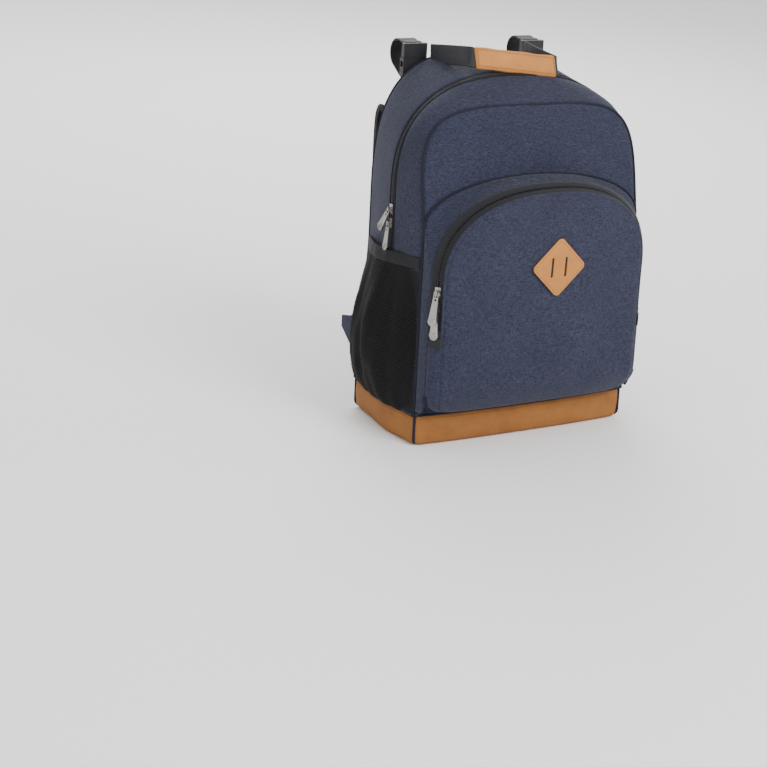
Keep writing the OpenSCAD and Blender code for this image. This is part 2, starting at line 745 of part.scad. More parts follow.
// Webbing from the back panel, under and behind the bar, to the top of the loop
module bar_strap(side) {
    path = concat([[tab_y, socket_low - 17], [tab_y, socket_low - 10],
                   [tab_y + 2.6, socket_low - 6.8], [socket_y - 2, socket_low - 5.6],
                   [socket_y + 6, socket_low - 4.2], [socket_y + 15, socket_low - 0.5]],
                  [for (i = [0:8]) on_loop(mix(290, 360 + loop_split, i / 8))]);
    color(black) on_bar_strap(side) band(path, bar_web_w, web_thick);
}
module bar_strap_left() { bar_strap(-1); }
module bar_strap_right() { bar_strap(1); }

// Webbing from the top of the loop down into the prong
module prong_webbing(side) {
    prong_top = socket_low + socket_h + gap + prong_h;
    path = concat([for (i = [0:6]) on_loop(mix(loop_split + 2, 115, i / 6))],
                  [[socket_y + 7, prong_top + 0.4], [socket_y + 2.6, prong_top - 1],
                   [socket_y, prong_top - 5], [socket_y, prong_top - prong_h + 5]]);
    color(black) on_bar_strap(side) band(path, bar_web_w, web_thick);
}
module prong_webbing_left() { prong_webbing(-1); }
module prong_webbing_right() { prong_webbing(1); }

// The short tab that ties the socket to the back panel
module socket_tab(side) {
    path = [[tab_y, socket_low + 10], [tab_y, socket_low + 1], [tab_y + 1.6, socket_low - 1.8],
            [tab_y + 5, socket_low - 3], [socket_y - 1, socket_low - 2.2],
            [socket_y, socket_low + 0.5], [socket_y, socket_low + 6.2]];
    color(black) on_bar_strap(side) band(path, bar_web_w, web_thick);
}
module socket_tab_left() { socket_tab(-1); }
module socket_tab_right() { socket_tab(1); }

cavity_w = 27;
cavity_t = 5.6;
cavity_floor = 9;
slot_t = web_thick + 1.6;
module buckle_socket(side) {
    color(black) on_bar_strap(side) difference() {
        translate([-socket_w / 2, socket_y - socket_t / 2, socket_low])
            cube([socket_w, socket_t, socket_h]);
        translate([-cavity_w / 2, socket_y - cavity_t / 2, socket_low + cavity_floor])
            cube([cavity_w, cavity_t, socket_h]);
        // Side windows for the prong's catches
        translate([-socket_w, socket_y - cavity_t / 2, socket_low + cavity_floor + 3])
            cube([2 * socket_w, cavity_t, 7]);
        // Slot for the webbing
        translate([-bar_web_w / 2 - 0.6, socket_y - slot_t / 2, socket_low - eps])
            cube([bar_web_w + 1.2, slot_t, 7]);
    }
}
module buckle_socket_left() { buckle_socket(-1); }
module buckle_socket_right() { buckle_socket(1); }

arm_w = 4;
module buckle_prong(side) {
    low = socket_low + socket_h + gap;
    reach = socket_h - cavity_floor - 1;
    color(black) on_bar_strap(side) difference() {
        union() {
            translate([-socket_w / 2 + 1, socket_y - 3.5, low]) cube([socket_w - 2, 7, prong_h]);
            for (x = [-1, 0, 1]) translate([x * (cavity_w / 2 - 0.4 - arm_w / 2) - arm_w / 2,
                socket_y - cavity_t / 2 + 0.5, low - reach])
                cube([arm_w, cavity_t - 1, reach + eps]);
        }
        translate([-bar_web_w / 2 - 0.6, socket_y - web_thick / 2 - 0.4, low + 4])
            cube([bar_web_w + 1.2, web_thick + 0.8, prong_h]);
        // Mouth that lets the webbing turn back over the bar
        translate([-bar_web_w / 2 - 0.6, socket_y - web_thick / 2 - 0.4, low + prong_h - 9])
            cube([bar_web_w + 1.2, 8, 12]);
    }
}
module buckle_prong_left() { buckle_prong(-1); }
module buckle_prong_right() { buckle_prong(1); }

back_panel();
back_pad();
rear_gusset();
side_panel_left();
side_panel_right();
front_gusset_left();
front_gusset_right();
front_panel();
base_panel();
base_board();
inner_pocket();
flap_gusset();
flap_panel();
main_zip_tape_rear();
main_zip_tape_legs();
main_zip_tape_flap();
main_zip_teeth_rear();
main_zip_teeth_legs();
main_zip_teeth_flap();
main_slider_upper();
main_slider_lower();
main_pull_upper();
main_pull_lower();
pocket_gusset();
pocket_panel_lower();
pocket_panel_flap();
pocket_zip_tape_rear();
pocket_zip_tape_flap();
pocket_zip_teeth_rear();
pocket_zip_teeth_flap();
zip_end_tabs();
pocket_slider_upper();
pocket_slider_lower();
pocket_pull_upper();
pocket_pull_lower();
lash_patch();
mesh_pocket_left();
mesh_pocket_right();
mesh_hem_left();
mesh_hem_right();
handle_webbing();
handle_grip();
shoulder_strap_left();
shoulder_strap_right();
ladder_lock_left();
ladder_lock_right();
tail_webbing_left();
tail_webbing_right();
wing_tab_left();
wing_tab_right();
bar_strap_left();
bar_strap_right();
socket_tab_left();
socket_tab_right();
buckle_socket_left();
buckle_socket_right();
prong_webbing_left();
prong_webbing_right();
buckle_prong_left();
buckle_prong_right();
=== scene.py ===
import math
import bmesh
import bpy
from mathutils import Matrix, Vector, noise


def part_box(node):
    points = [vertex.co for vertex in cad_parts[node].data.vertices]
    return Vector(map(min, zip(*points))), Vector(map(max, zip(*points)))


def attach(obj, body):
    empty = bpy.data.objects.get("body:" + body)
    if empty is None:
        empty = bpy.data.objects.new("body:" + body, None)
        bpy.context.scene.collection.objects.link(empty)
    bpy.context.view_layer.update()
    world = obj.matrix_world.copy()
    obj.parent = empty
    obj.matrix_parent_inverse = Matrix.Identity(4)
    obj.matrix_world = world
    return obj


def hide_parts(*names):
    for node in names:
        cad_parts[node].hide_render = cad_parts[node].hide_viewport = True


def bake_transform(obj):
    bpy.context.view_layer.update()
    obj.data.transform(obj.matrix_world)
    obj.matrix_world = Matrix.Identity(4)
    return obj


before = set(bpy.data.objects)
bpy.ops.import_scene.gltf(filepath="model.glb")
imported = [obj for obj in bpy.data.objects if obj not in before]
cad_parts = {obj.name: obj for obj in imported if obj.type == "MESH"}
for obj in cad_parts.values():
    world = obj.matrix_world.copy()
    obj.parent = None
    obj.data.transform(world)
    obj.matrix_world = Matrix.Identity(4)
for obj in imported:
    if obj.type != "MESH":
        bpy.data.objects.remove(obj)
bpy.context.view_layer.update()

# ---- Studio ----
# A pale floor that the bag stands on, three soft lamps and the camera, a short telephoto
# a little to the left of the bag and above it.

scene = bpy.context.scene
AZIMUTH, ELEVATION, ROLL = math.radians(-31.4), math.radians(14.37), math.radians(3.68)
AIM = Vector((0, 0, 0.230))
behind_camera = Vector((math.sin(AZIMUTH) * math.cos(ELEVATION),
                        -math.cos(AZIMUTH) * math.cos(ELEVATION), math.sin(ELEVATION)))
level = Vector((math.cos(AZIMUTH), math.sin(AZIMUTH), 0))
upright = behind_camera.cross(level)
right = math.cos(ROLL) * level + math.sin(ROLL) * upright
over = math.cos(ROLL) * upright - math.sin(ROLL) * level
lens = bpy.data.cameras.new("camera")
lens.lens = 86.3
lens.sensor_width = 36
lens.shift_x, lens.shift_y = -0.150, -0.191
camera = bpy.data.objects.new("camera", lens)
camera.matrix_world = Matrix.Translation(AIM + behind_camera * 2.299) @ \
    Matrix((right, over, behind_camera)).transposed().to_4x4()
scene.collection.objects.link(camera)
scene.camera = camera

for name, place, size, power in (("key_lamp", (0.7, -2.7, 2.2), 1.6, 100),
                                 ("side_lamp", (-2.5, -1.3, 1.4), 1.8, 9),
                                 ("rear_lamp", (0.8, 2.3, 2.0), 1.8, 60)):
    lamp = bpy.data.lights.new(name, "AREA")
    lamp.size, lamp.energy = size, power
    holder = bpy.data.objects.new(name, lamp)
    holder.location = place
    holder.rotation_euler = (Vector((0, 0, 0.22)) - Vector(place)).to_track_quat("-Z", "Y").to_euler()
    scene.collection.objects.link(holder)
sky = bpy.data.worlds.new("studio_air")
sky.use_nodes = True
sky.node_tree.nodes["Background"].inputs["Color"].default_value = (1, 1, 1, 1)
sky.node_tree.nodes["Background"].inputs["Strength"].default_value = 1.05
scene.world = sky


class Wire:
    """A shader socket that takes part in sums; each sum adds its Math node."""

    def __init__(self, tree, socket):
        self.tree, self.socket = tree, socket

    def sum(self, kind, first, second=None):
        n = self.tree.nodes.new("ShaderNodeMath")
        n.operation = kind
        for k, v in enumerate((first, second)):
            if isinstance(v, Wire):
                self.tree.links.new(v.socket, n.inputs[k])
            elif v is not None:
                n.inputs[k].default_value = v
        return Wire(self.tree, n.outputs[0])

    def __add__(self, other):
        return self.sum("ADD", self, other)

    __radd__ = __add__

    def __sub__(self, other):
        return self.sum("SUBTRACT", self, other)

    def __rsub__(self, other):
        return self.sum("SUBTRACT", other, self)

    def __mul__(self, other):
        return self.sum("MULTIPLY", self, other)

    __rmul__ = __mul__

    def __truediv__(self, other):
        return self.sum("DIVIDE", self, other)

    def __gt__(self, other):
        return self.sum("GREATER_THAN", self, other)

    def least(self, other):
        return self.sum("MINIMUM", self, other)

    def part(self):
        return self.sum("FRACT", self)


class Finish:
    """A material with one surface shader, whose fixed values are set on its own sockets."""

    def __init__(self, name, **surface):
        self.material = bpy.data.materials.new(name)
        self.material.use_nodes = True
        self.tree = self.material.node_tree
        self.shader = self.tree.nodes["Principled BSDF"]
        for key, value in surface.items():
            self.shader.inputs[key.replace("_", " ")].default_value = value

    def node(self, kind, settings=(), out=0, **sockets):
        n = self.tree.nodes.new(kind)
        for key, value in dict(settings).items():
            setattr(n, key, value)
        for key, value in sockets.items():
            s = n.inputs[int(key[1:])] if key[1:].isdigit() else n.inputs[key.replace("_", " ")]
            if isinstance(value, Wire):
                self.tree.links.new(value.socket, s)
            else:
                s.default_value = value
        return Wire(self.tree, n.outputs[out])

    def place(self):
        return self.node("ShaderNodeTexCoord", out=3)

    def stretched(self, x, y, z):
        """The place on the object, in turns of the given number per metre."""
        return self.node("ShaderNodeVectorMath", {"operation": "MULTIPLY"}, i0=self.place(), i1=(x, y, z))

    def grain(self, x, y, z, detail=2.0, rough=0.5):
        return self.node("ShaderNodeTexNoise", Vector=self.stretched(x, y, z), Scale=1.0,
                         Detail=detail, Roughness=rough)

    def steps(self, value, low, high):
        return self.node("ShaderNodeMapRange", Value=value, From_Min=low, From_Max=high)

    def between(self, share, first, second):
        return self.node("ShaderNodeMix", {"data_type": "RGBA"}, out=2, i0=share, i6=first, i7=second)

    def feed(self, socket, wire):
        self.tree.links.new(wire.socket, self.shader.inputs[socket])

    def relief(self, height, depth, strength=1.0):
        self.feed("Normal", self.node("ShaderNodeBump", Height=height, Distance=depth, Strength=strength))


def tint(r, g, b):
    """A screen colour, 0 to 255, as the linear colour that a shader takes."""
    return tuple(((c / 255 + 0.055) / 1.055) ** 2.4 if c > 10 else c / 3295 for c in (r, g, b)) + (1,)


def grid(name, rows, finish, thick=0.0, smooth=0, turned=False):
    """A sheet through rows of points, thickened inwards by thick, and smoothed."""
    mesh = bpy.data.meshes.new(name)
    cols = len(rows[0])
    points = [p for row in rows for p in row]
    faces = []
    for r in range(len(rows) - 1):
        for c in range(cols - 1):
            a = r * cols + c
            face = (a, a + 1, a + cols + 1, a + cols)
            faces.append(face[::-1] if turned else face)
    mesh.from_pydata([tuple(p) for p in points], [], faces)
    return made(name, mesh, finish, thick, smooth)


def made(name, mesh, finish, thick=0.0, smooth=0, edge=0.0):
    """The mesh as a piece in its final shape, with its modifiers worked in."""
    bm = bmesh.new()
    bm.from_mesh(mesh)
    bmesh.ops.remove_doubles(bm, verts=bm.verts, dist=1e-6)
    bm.to_mesh(mesh)
    bm.free()
    piece = bpy.data.objects.new(name, mesh)
    scene.collection.objects.link(piece)
    if thick:
        m = piece.modifiers.new("thickness", "SOLIDIFY")
        m.thickness, m.offset = thick, -1
    if edge:
        m = piece.modifiers.new("edge", "BEVEL")
        m.width, m.segments, m.limit_method = edge, 3, "ANGLE"
    if smooth:
        m = piece.modifiers.new("smoothing", "SUBSURF")
        m.levels = m.render_levels = smooth
    piece.data.materials.append(finish.material)
    return settled(piece)


def settled(piece):
    """Works a piece's modifiers into its mesh."""
    if piece.modifiers:
        done = bpy.data.meshes.new_from_object(piece.evaluated_get(bpy.context.evaluated_depsgraph_get()))
        piece.modifiers.clear()
        piece.data = done
    for f in piece.data.polygons:
        f.use_smooth = True
    return piece


pale = Finish("studio_floor", Base_Color=tint(248, 248, 248), Roughness=0.9)
pale.feed("Roughness", pale.steps(pale.grain(3, 3, 3), 0.0, 1.2) * 0.1 + 0.8)
sweep = [[Vector((x, y, z)) for x in (-6, -2, 2, 6)] for y, z in
         ((-5, -0.001), (0, -0.001), (3.0, -0.001), (4.2, 0.25), (4.9, 1.2), (5.0, 4.5))]
floor = grid("floor", sweep, pale, smooth=2)

# ---- Navy body cloth ----
# Heathered polyester: pale and dark threads cross, so short slubs run both along and across.
# The panels are sewn inside out over a soft lining and keep a gentle crown and small wrinkles.

navy = Finish("navy_heather", Roughness=0.88, Sheen_Weight=0.06, Sheen_Roughness=0.5,
              Specular_IOR_Level=0.18)
weft = navy.grain(210, 210, 2300, 3.0, 0.6)
warp = navy.grain(2100, 2100, 190, 3.0, 0.6)
slub = navy.grain(120, 120, 2100, 2.0)
shade = navy.steps(weft * 0.5 + warp * 0.5, 0.40, 0.60)
body_blue = navy.between(shade, tint(21, 22, 33), tint(56, 59, 79))
body_blue = navy.between(navy.steps(slub, 0.56, 0.74) * 0.35, body_blue, tint(80, 85, 109))
worn = navy.grain(14, 14, 14, 3.0)
body_blue = navy.between(navy.steps(worn, 0.35, 0.75) * 0.22, body_blue, tint(26, 29, 44))
navy.feed("Base Color", body_blue)
navy.relief(weft + warp, 0.0004, 0.55)

WALL = 0.002
CLEAR = 0.0003
back_box, foot_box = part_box("back_panel"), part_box("base_panel")
Y_BACK, Y_FOOT = back_box[1].y, -back_box[1].y
Y_ZIP = Y_FOOT + 0.063
BAND = foot_box[1].z
TOP = back_box[1].z
BEND = TOP - 0.180


class Rib:
    """One arched line of the bag's shell: straight legs, then a rounded arch at the top."""

    def __init__(self, wide, leg, top, round_, y_leg, y_top, crown=0.0, ramp=BEND, late=1):
        self.v = [wide, leg, top, round_, y_leg, y_top, crown, ramp, late]

    def mix(self, other, f):
        return Rib(*[a + (b - a) * f for a, b in zip(self.v, other.v)])

    def moved(self, inward=0.0, back=0.0):
        wide, leg, top, round_, y0, y1, crown, ramp, late = self.v
        return Rib(wide - inward, leg, top - inward, round_, y0 + back, y1 + back, crown, ramp, late)

    def half(self, z):
        wide, leg, top, round_ = self.v[:4]
        return wide if z <= leg else wide * max(0, 1 - ((z - leg) / (top - leg)) ** round_) ** (1 / round_)

    def at(self, x, z):
        wide, leg, top, round_, y0, y1, crown, ramp, late = self.v
        rise = min(1, max(0, (z - ramp) / (top - ramp))) ** late
        return Vector((x, y0 + (y1 - y0) * rise - crown * (1 - (x / wide) ** 2), z))

    def arch(self, low, count=72, legs=22):
        """Points from low on the left, over the top, to low on the right."""
        wide, leg, top, round_ = self.v[:4]
        start = 0.0 if low < leg else math.atan2(low - leg, self.half(low))
        left = [self.at(-wide, low + (leg - low) * i / legs) for i in range(legs)] if low < leg else []
        over_top = []
        for i in range(count + 1):
            a = math.pi - start - (math.pi - 2 * start) * i / count
            reach = (abs(math.cos(a) / wide) ** round_ + abs(math.sin(a) / (top - leg)) ** round_) ** (-1 / round_)
            over_top.append(self.at(reach * math.cos(a), leg + reach * math.sin(a)))
        return left + over_top + [Vector((-p.x, p.y, p.z)) for p in reversed(left)]


BACK = Rib(back_box[1].x, BEND, TOP, 3, Y_BACK, Y_BACK)
ZIP = Rib(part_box("side_panel_right")[1].x, 0.305, TOP - 0.012, 2.45, Y_ZIP, Y_ZIP)
FRONT = Rib(0.150, BEND, TOP - 0.043, 4.5, Y_FOOT, Y_FOOT + 0.025, 0.007)
TAPE = 0.005


def behind(d):
    return ZIP.mix(BACK, d / (Y_BACK - Y_ZIP))


def ahead(d):
    return ZIP.mix(FRONT, d / (Y_ZIP - Y_FOOT))


def drawn_in(p):
    """The sides narrow towards the upper back, where the straps pull on them."""
    rise = min(1.0, max(0.0, (p.z - 0.05) / 0.18))
    rear_share = min(1.0, max(0.0, (p.y - Y_ZIP) / (Y_BACK - Y_ZIP)))
    p = p.copy()
    p.x *= 1 - 0.078 * rise * rise * (3 - 2 * rise) * rear_share
    return p


def creased(p, size, deep):
    """A small rise or fall, in metres, of cloth at a point."""
    return deep * (noise.noise(p / size) + 0.4 * noise.noise(p * 2.3 / size + Vector((7, 3, 1))))


def bulged(rows, swell, size=0.05, deep=0.0011):
    """Rows of a shell strip, swollen outwards between the seams and lightly wrinkled."""
    last = len(rows) - 1
    out = []
    for r, row in enumerate(rows):
        rise = math.sin(math.pi * r / last)
        line = []
        for p in row:
            away = Vector((p.x, 0, max(0.0, p.z - BEND))).normalized()
            line.append(p + away * (rise ** 0.6 * (swell + creased(p, size, deep))))
        out.append(line)
    return out


rear = [[drawn_in(p) for p in behind(TAPE + (Y_BACK - Y_ZIP - TAPE - 0.0012) * i / 12).arch(BAND)] for i in range(13)]
rear_shell = grid("rear_shell", bulged(rear, 0.0022), navy, WALL)
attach(rear_shell, "bag")
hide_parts("rear_gusset", "side_panel_left", "side_panel_right")

front_side = [ahead(TAPE + (Y_ZIP - Y_FOOT - TAPE) * i / 10).arch(BAND) for i in range(11)]
front_side_shell = grid("front_side_shell", bulged(front_side, 0.0016), navy, WALL, turned=True)
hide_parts("front_gusset_left", "front_gusset_right", "flap_gusset")
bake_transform(front_side_shell)

ZIP_END = 0.211
for side, word in ((-1, "left"), (1, "right")):
    strip = [[Vector((side * p.half(0), y, BAND + (ZIP_END - BAND) * i / 20)) for i in range(21)]
             for p, y in ((ahead(TAPE + 0.001), Y_ZIP - TAPE - 0.001), (ZIP, Y_ZIP),
                          (behind(TAPE + 0.001), Y_ZIP + TAPE + 0.001))]
    filler = grid("side_cloth_" + word, strip, navy, WALL, turned=side < 0)
    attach(filler, "bag")

face_rows = []
edge_points = FRONT.arch(BAND, 72, 40)
for p in edge_points[: len(edge_points) // 2]:
    row = []
    for c in range(45):
        x = p.x * (1 - 2 * c / 44)
        q = FRONT.at(x, p.z)
        near = 1 - abs(x) / max(abs(p.x), 1e-6)
        rise = min(1, near * 7) * min(1, (p.z - BAND) * 40)
        q.y -= rise * (0.0008 + creased(q, 0.07, 0.0014)) - 0.0004
        row.append(q)
    face_rows.append(row)
front_face = grid("front_face", face_rows, navy, WALL)
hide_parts("front_panel", "flap_panel")
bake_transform(front_face)

back_rows = []
edge_points = BACK.arch(BAND, 48, 20)
for p in edge_points[: len(edge_points) // 2]:
    row = []
    for c in range(31):
        q = BACK.at(p.x * (1 - 2 * c / 30), p.z)
        q.y -= 0.0006 - creased(q, 0.08, 0.0005)
        row.append(drawn_in(q))
    back_rows.append(row)

# ---- Piping ----
# A cord in a folded strip of the same navy cloth is caught in the seams round the front, the back and the
# pocket, and stands a little proud of them. Its colour is painted darker than the body's navy: painted seam shade.

piping = Finish("navy_piping", Roughness=0.8, Specular_IOR_Level=0.2)
twill = piping.grain(1600, 1600, 1600, 1.0)
# The piping's tints are darker than the body navy: painted shade along the seams.
piping.feed("Base Color", piping.between(twill, tint(15, 16, 24), tint(36, 38, 52)))
piping.relief(twill, 0.0003, 0.6)


def tube(name, points, radius, finish, sides=8, closed=False):
    """A round cord along points."""
    mesh = bpy.data.meshes.new(name)
    count = len(points)
    rings = []
    side = Vector((0.3, 1, 0.2))
    for i, p in enumerate(points):
        before = points[i - 1] if i or closed else p
        after = points[(i + 1) % count] if i + 1 < count or closed else p
        along = (after - before).normalized()
        side = (side - along * side.dot(along)).normalized()
        cross = along.cross(side)
        rings.append([p + radius * (math.cos(a) * side + math.sin(a) * cross)
                      for a in (2 * math.pi * k / sides for k in range(sides))])
    faces = []
    for i in range(count if closed else count - 1):
        a, b = i * sides, ((i + 1) % count) * sides
        faces += [(a + k, a + (k + 1) % sides, b + (k + 1) % sides, b + k) for k in range(sides)]
    if not closed:
        faces += [tuple(range(sides - 1, -1, -1)), tuple((count - 1) * sides + k for k in range(sides))]
    mesh.from_pydata([tuple(q) for ring in rings for q in ring], [], faces)
    return made(name, mesh, finish)


def flap_bent(piece):
    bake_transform(piece)


front_piping = tube("front_piping", FRONT.moved(-0.0002, 0.0008).arch(BAND, 90, 40), 0.0017, piping)
flap_bent(front_piping)
back_piping = tube("back_piping", [drawn_in(p) for p in BACK.moved(0.0003, -0.0002).arch(BAND, 90, 30)], 0.0016, piping)
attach(back_piping, "bag")

# ---- Foot band ----
# Suede-like faux leather wraps the foot of the bag. It is sewn to the body under a thin
# welt, its corners are closed by dark bound seams, and a row of stitches runs along its top.



def suede(name, deep, fair):
    """Brushed faux leather between two browns: a fine nap, cloudy wear and a dull gloss."""
    hide = Finish(name, Roughness=0.78, Specular_IOR_Level=0.25)
    nap = hide.grain(900, 900, 900, 4.0, 0.65)
    mottle = hide.grain(26, 26, 34, 4.0, 0.6)
    colour = hide.between(hide.steps(mottle, 0.3, 0.72), deep, fair)
    hide.feed("Base Color", hide.between(hide.steps(nap, 0.4, 0.8) * 0.35, colour, tint(112, 68, 32)))
    hide.feed("Roughness", hide.steps(mottle, 0.2, 0.9) * 0.2 + 0.66)
    hide.relief(nap, 0.0004, 0.5)
    return hide


tan = suede("tan_suede", tint(128, 80, 37), tint(151, 100, 50))
fair_tan = suede("fair_tan_suede", tint(172, 112, 55), tint(192, 130, 67))
tan_thread = Finish("tan_thread", Roughness=0.6, Base_Color=tint(118, 76, 42))
tan_thread.relief(tan_thread.grain(3000, 3000, 3000), 0.0002)
navy_thread = Finish("navy_thread", Roughness=0.6, Base_Color=tint(22, 24, 36))
navy_thread.relief(navy_thread.grain(3000, 3000, 3000), 0.0002)


def side_at(y):
    if y < Y_ZIP:
        return FRONT.v[0] + (ZIP.v[0] - FRONT.v[0]) * (y - Y_FOOT) / (Y_ZIP - Y_FOOT)
    return ZIP.v[0] + (BACK.v[0] - ZIP.v[0]) * (y - Y_ZIP) / (Y_BACK - Y_ZIP)


def foot_line(inward, corner=0.010):
    """The outline of the bag's foot, round from the front left, as flat points."""
    points = []
    half, low, high = FRONT.v[0], Y_FOOT, Y_BACK

    def rounded(a, k, b):
        return [a * (1 - t) ** 2 + k * 2 * t * (1 - t) + b * t * t for t in (0.2, 0.4, 0.6, 0.8)]
    front_y = [-half + corner + (2 * half - 2 * corner) * i / 24 for i in range(25)]
    front = [Vector((x, low - 0.007 * (1 - (x / half) ** 2))) for x in front_y]
    right_side = [Vector((side_at(y), y))
                  for y in [low + corner + (high - low - 2 * corner) * i / 14 for i in range(15)]]
    rear_line = [Vector((BACK.v[0] - corner - (2 * BACK.v[0] - 2 * corner) * i / 16, high)) for i in range(17)]
    left_side = [Vector((-p.x, p.y)) for p in reversed(right_side)]
    points += front + rounded(front[-1], Vector((half, low)), right_side[0]) + right_side
    points += rounded(right_side[-1], Vector((BACK.v[0], high)), rear_line[0]) + rear_line
    points += rounded(rear_line[-1], Vector((-BACK.v[0], high)), left_side[0]) + left_side
    points += rounded(left_side[-1], Vector((-half, low)), front[0])
    return [p * (1 - inward / p.length) for p in points]


rings = []
for inward, z in ((0.0600, 0.0), (0.012, 0.0), (0.0045, 0.0008), (0.0010, 0.005), (0.0, 0.014), (-0.0006, 0.024),
                  (0.0002, 0.034), (0.0010, BAND + 0.0004), (0.004, BAND - 0.0004)):
    ring = [Vector((p.x, p.y, z)) for p in foot_line(inward)]
    for k, q in enumerate(ring):
        out = Vector((q.x, q.y, 0)).normalized()
        ring[k] = q + out * (creased(q, 0.03, 0.0007) if 0.004 < z < 0.036 else 0)
    rings.append(ring + ring[:1])
rings.insert(0, [Vector((0, 0, 0.0003))] * len(rings[0]))
foot_band = grid("foot_band", rings, tan)
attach(foot_band, "bag")
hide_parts("base_panel")
welt = tube("foot_welt", [Vector((p.x, p.y, BAND + 0.0006)) for p in foot_line(0.0008)], 0.0015, piping, closed=True)
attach(welt, "bag")
for x in (-1, 1):
    for y, word in ((Y_FOOT, "front"), (Y_BACK, "back")):
        half = FRONT.v[0] if y < 0 else BACK.v[0]
        line = [Vector((x * (half - 0.0018 - 0.006 * max(0, 1 - z / 0.008) ** 2),
                        y * (1 - (0.0018 + 0.006 * max(0, 1 - z / 0.008) ** 2) / abs(y)), z))
                for z in [0.0025 + (BAND - 0.0025) * i / 10 for i in range(11)]]
        bound = tube("foot_corner_%s_%s" % (word, "left" if x < 0 else "right"), line, 0.0018, piping)
        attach(bound, "bag")


def stitches(name, points, finish, pitch=0.0034, length=0.0022, radius=0.00032, lift=0.0):
    """Sewn dashes along a line of points."""
    mesh = bpy.data.meshes.new(name)
    verts, faces, travelled, due = [], [], 0.0, 0.0
    for a, b in zip(points, points[1:]):
        step = (b - a).length
        if step < 1e-7:
            continue
        along = (b - a) / step
        side = along.cross(Vector((0.21, 0.43, 0.88))).normalized()
        cross = along.cross(side)
        while due < travelled + step:
            mid = a + along * (due - travelled)
            n = len(verts)
            for t, r in ((-0.5, 0.5), (-0.28, 1.0), (0.28, 1.0), (0.5, 0.5)):
                for k in range(5):
                    g = 2 * math.pi * k / 5
                    verts.append(mid + along * t * length + radius * r * (math.cos(g) * side + math.sin(g) * cross))
            for ring in range(3):
                faces += [(n + ring * 5 + k, n + ring * 5 + (k + 1) % 5, n + ring * 5 + 5 + (k + 1) % 5,
                           n + ring * 5 + 5 + k) for k in range(5)]
            faces += [tuple(n + k for k in range(4, -1, -1)), tuple(n + 15 + k for k in range(5))]
            due += pitch
        travelled += step
    mesh.from_pydata([tuple(v) for v in verts], [], faces)
    return made(name, mesh, finish)


foot_seam = [Vector((p.x, p.y, BAND - 0.0045)) for p in foot_line(-0.0002)]
foot_stitch = stitches("foot_stitches", foot_seam + foot_seam[:1], tan_thread)
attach(foot_stitch, "bag")
stiffener = Finish("base_stiffener", Roughness=0.7, Base_Color=tint(40, 40, 42))
stiffener.relief(stiffener.grain(400, 400, 400), 0.0003)
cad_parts["base_board"].data.materials.clear()
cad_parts["base_board"].data.materials.append(stiffener.material)

# ---- Front pocket ----
# A deep pocket stands off the front. Its navy wall and face meet at a zip that arches over it,
# and below the zip its face curls round its lower corners into the front.

POCKET_TAPE = 0.009
ANGLE = math.radians(37)
T_IN, T_OUT = POCKET_TAPE * math.sin(ANGLE), POCKET_TAPE * math.cos(ANGLE)
POCKET_TOP = 0.328
P_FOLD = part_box("pocket_panel_flap")[0].z
P_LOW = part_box("pocket_panel_lower")[0].z
ZIP_LINE = Rib(0.150 - T_IN - 0.001, 0.212, POCKET_TOP - T_IN - 0.0025, 2.35,
               Y_FOOT - 0.030, Y_FOOT - 0.041, 0, P_FOLD, 3)
WALL_EDGE = ZIP_LINE.moved(-T_IN, T_OUT)
FACE = ZIP_LINE.moved(T_IN, -T_OUT)
FACE.v[6] = 0.005
SEAM = Rib(0.150, BEND, POCKET_TOP, 2.1, Y_FOOT, Y_FOOT, 0, BEND)


def toward(d):
    return ZIP_LINE.mix(FACE if d > 0 else WALL_EDGE, abs(d) / POCKET_TAPE)


def share(z):
    u = min(1, max(0, (z - P_LOW + 0.006) / 0.045))
    return math.sqrt(1 - (1 - u) ** 2)


def on_face(x, z):
    p = FRONT.at(max(-0.150, min(0.150, x)), z)
    p.x = x
    return p - Vector((0, CLEAR, 0))


def pulled_in(p):
    base = on_face(p.x, p.z)
    return base + (p - base) * share(p.z)


def pocket_bent(piece):
    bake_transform(piece)


wall_rows = []
wall_line = WALL_EDGE.arch(P_LOW, 64, 30)
seam_line = SEAM.arch(P_LOW, 64, 30)
for f in [i / 7 for i in range(8)]:
    row = []
    for p, s in zip(wall_line, seam_line):
        front_point = pulled_in(p) if p.z < 0.2 else p
        base = on_face(s.x, s.z)
        q = base + (front_point - base) * f
        away = Vector((q.x, 0, max(0.0, q.z - 0.2))).normalized()
        row.append(q + away * (math.sin(math.pi * f) ** 0.7 * (0.0012 + creased(q, 0.035, 0.0011)) - 0.0004))
    wall_rows.append(row)
pocket_wall = grid("pocket_wall", wall_rows, navy, WALL, turned=True)
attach(pocket_wall, "bag")
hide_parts("pocket_gusset")

CORNER = 0.026
heights = [P_LOW + (P_FOLD + 0.02 - P_LOW) * (i / 26) ** 1.25 for i in range(27)]
line = FACE.arch(P_FOLD + 0.026, 64, 12)
ends = [(None, z) for z in heights] + [(-p.x, p.z) for p in line[: len(line) // 2]]
face_rows = []
for half, z in ends:
    if half is None:
        u = min(1, max(0, (z - P_LOW) / CORNER))
        half = FACE.v[0] - CORNER + CORNER * math.sqrt(1 - (1 - u) ** 2)
    row = []
    for c in range(49):
        x = half * (2 * c / 48 - 1)
        q = pulled_in(FACE.at(x, z))
        near = min(1.0, 6 * (1 - abs(x) / half))
        q.y -= near * share(z) * (creased(q, 0.06, 0.0016) + 0.0006)
        row.append(q)
    face_rows.append(row)
pocket_face = grid("pocket_face", face_rows, navy, WALL)
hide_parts("pocket_panel_lower", "pocket_panel_flap")
pocket_bent(pocket_face)

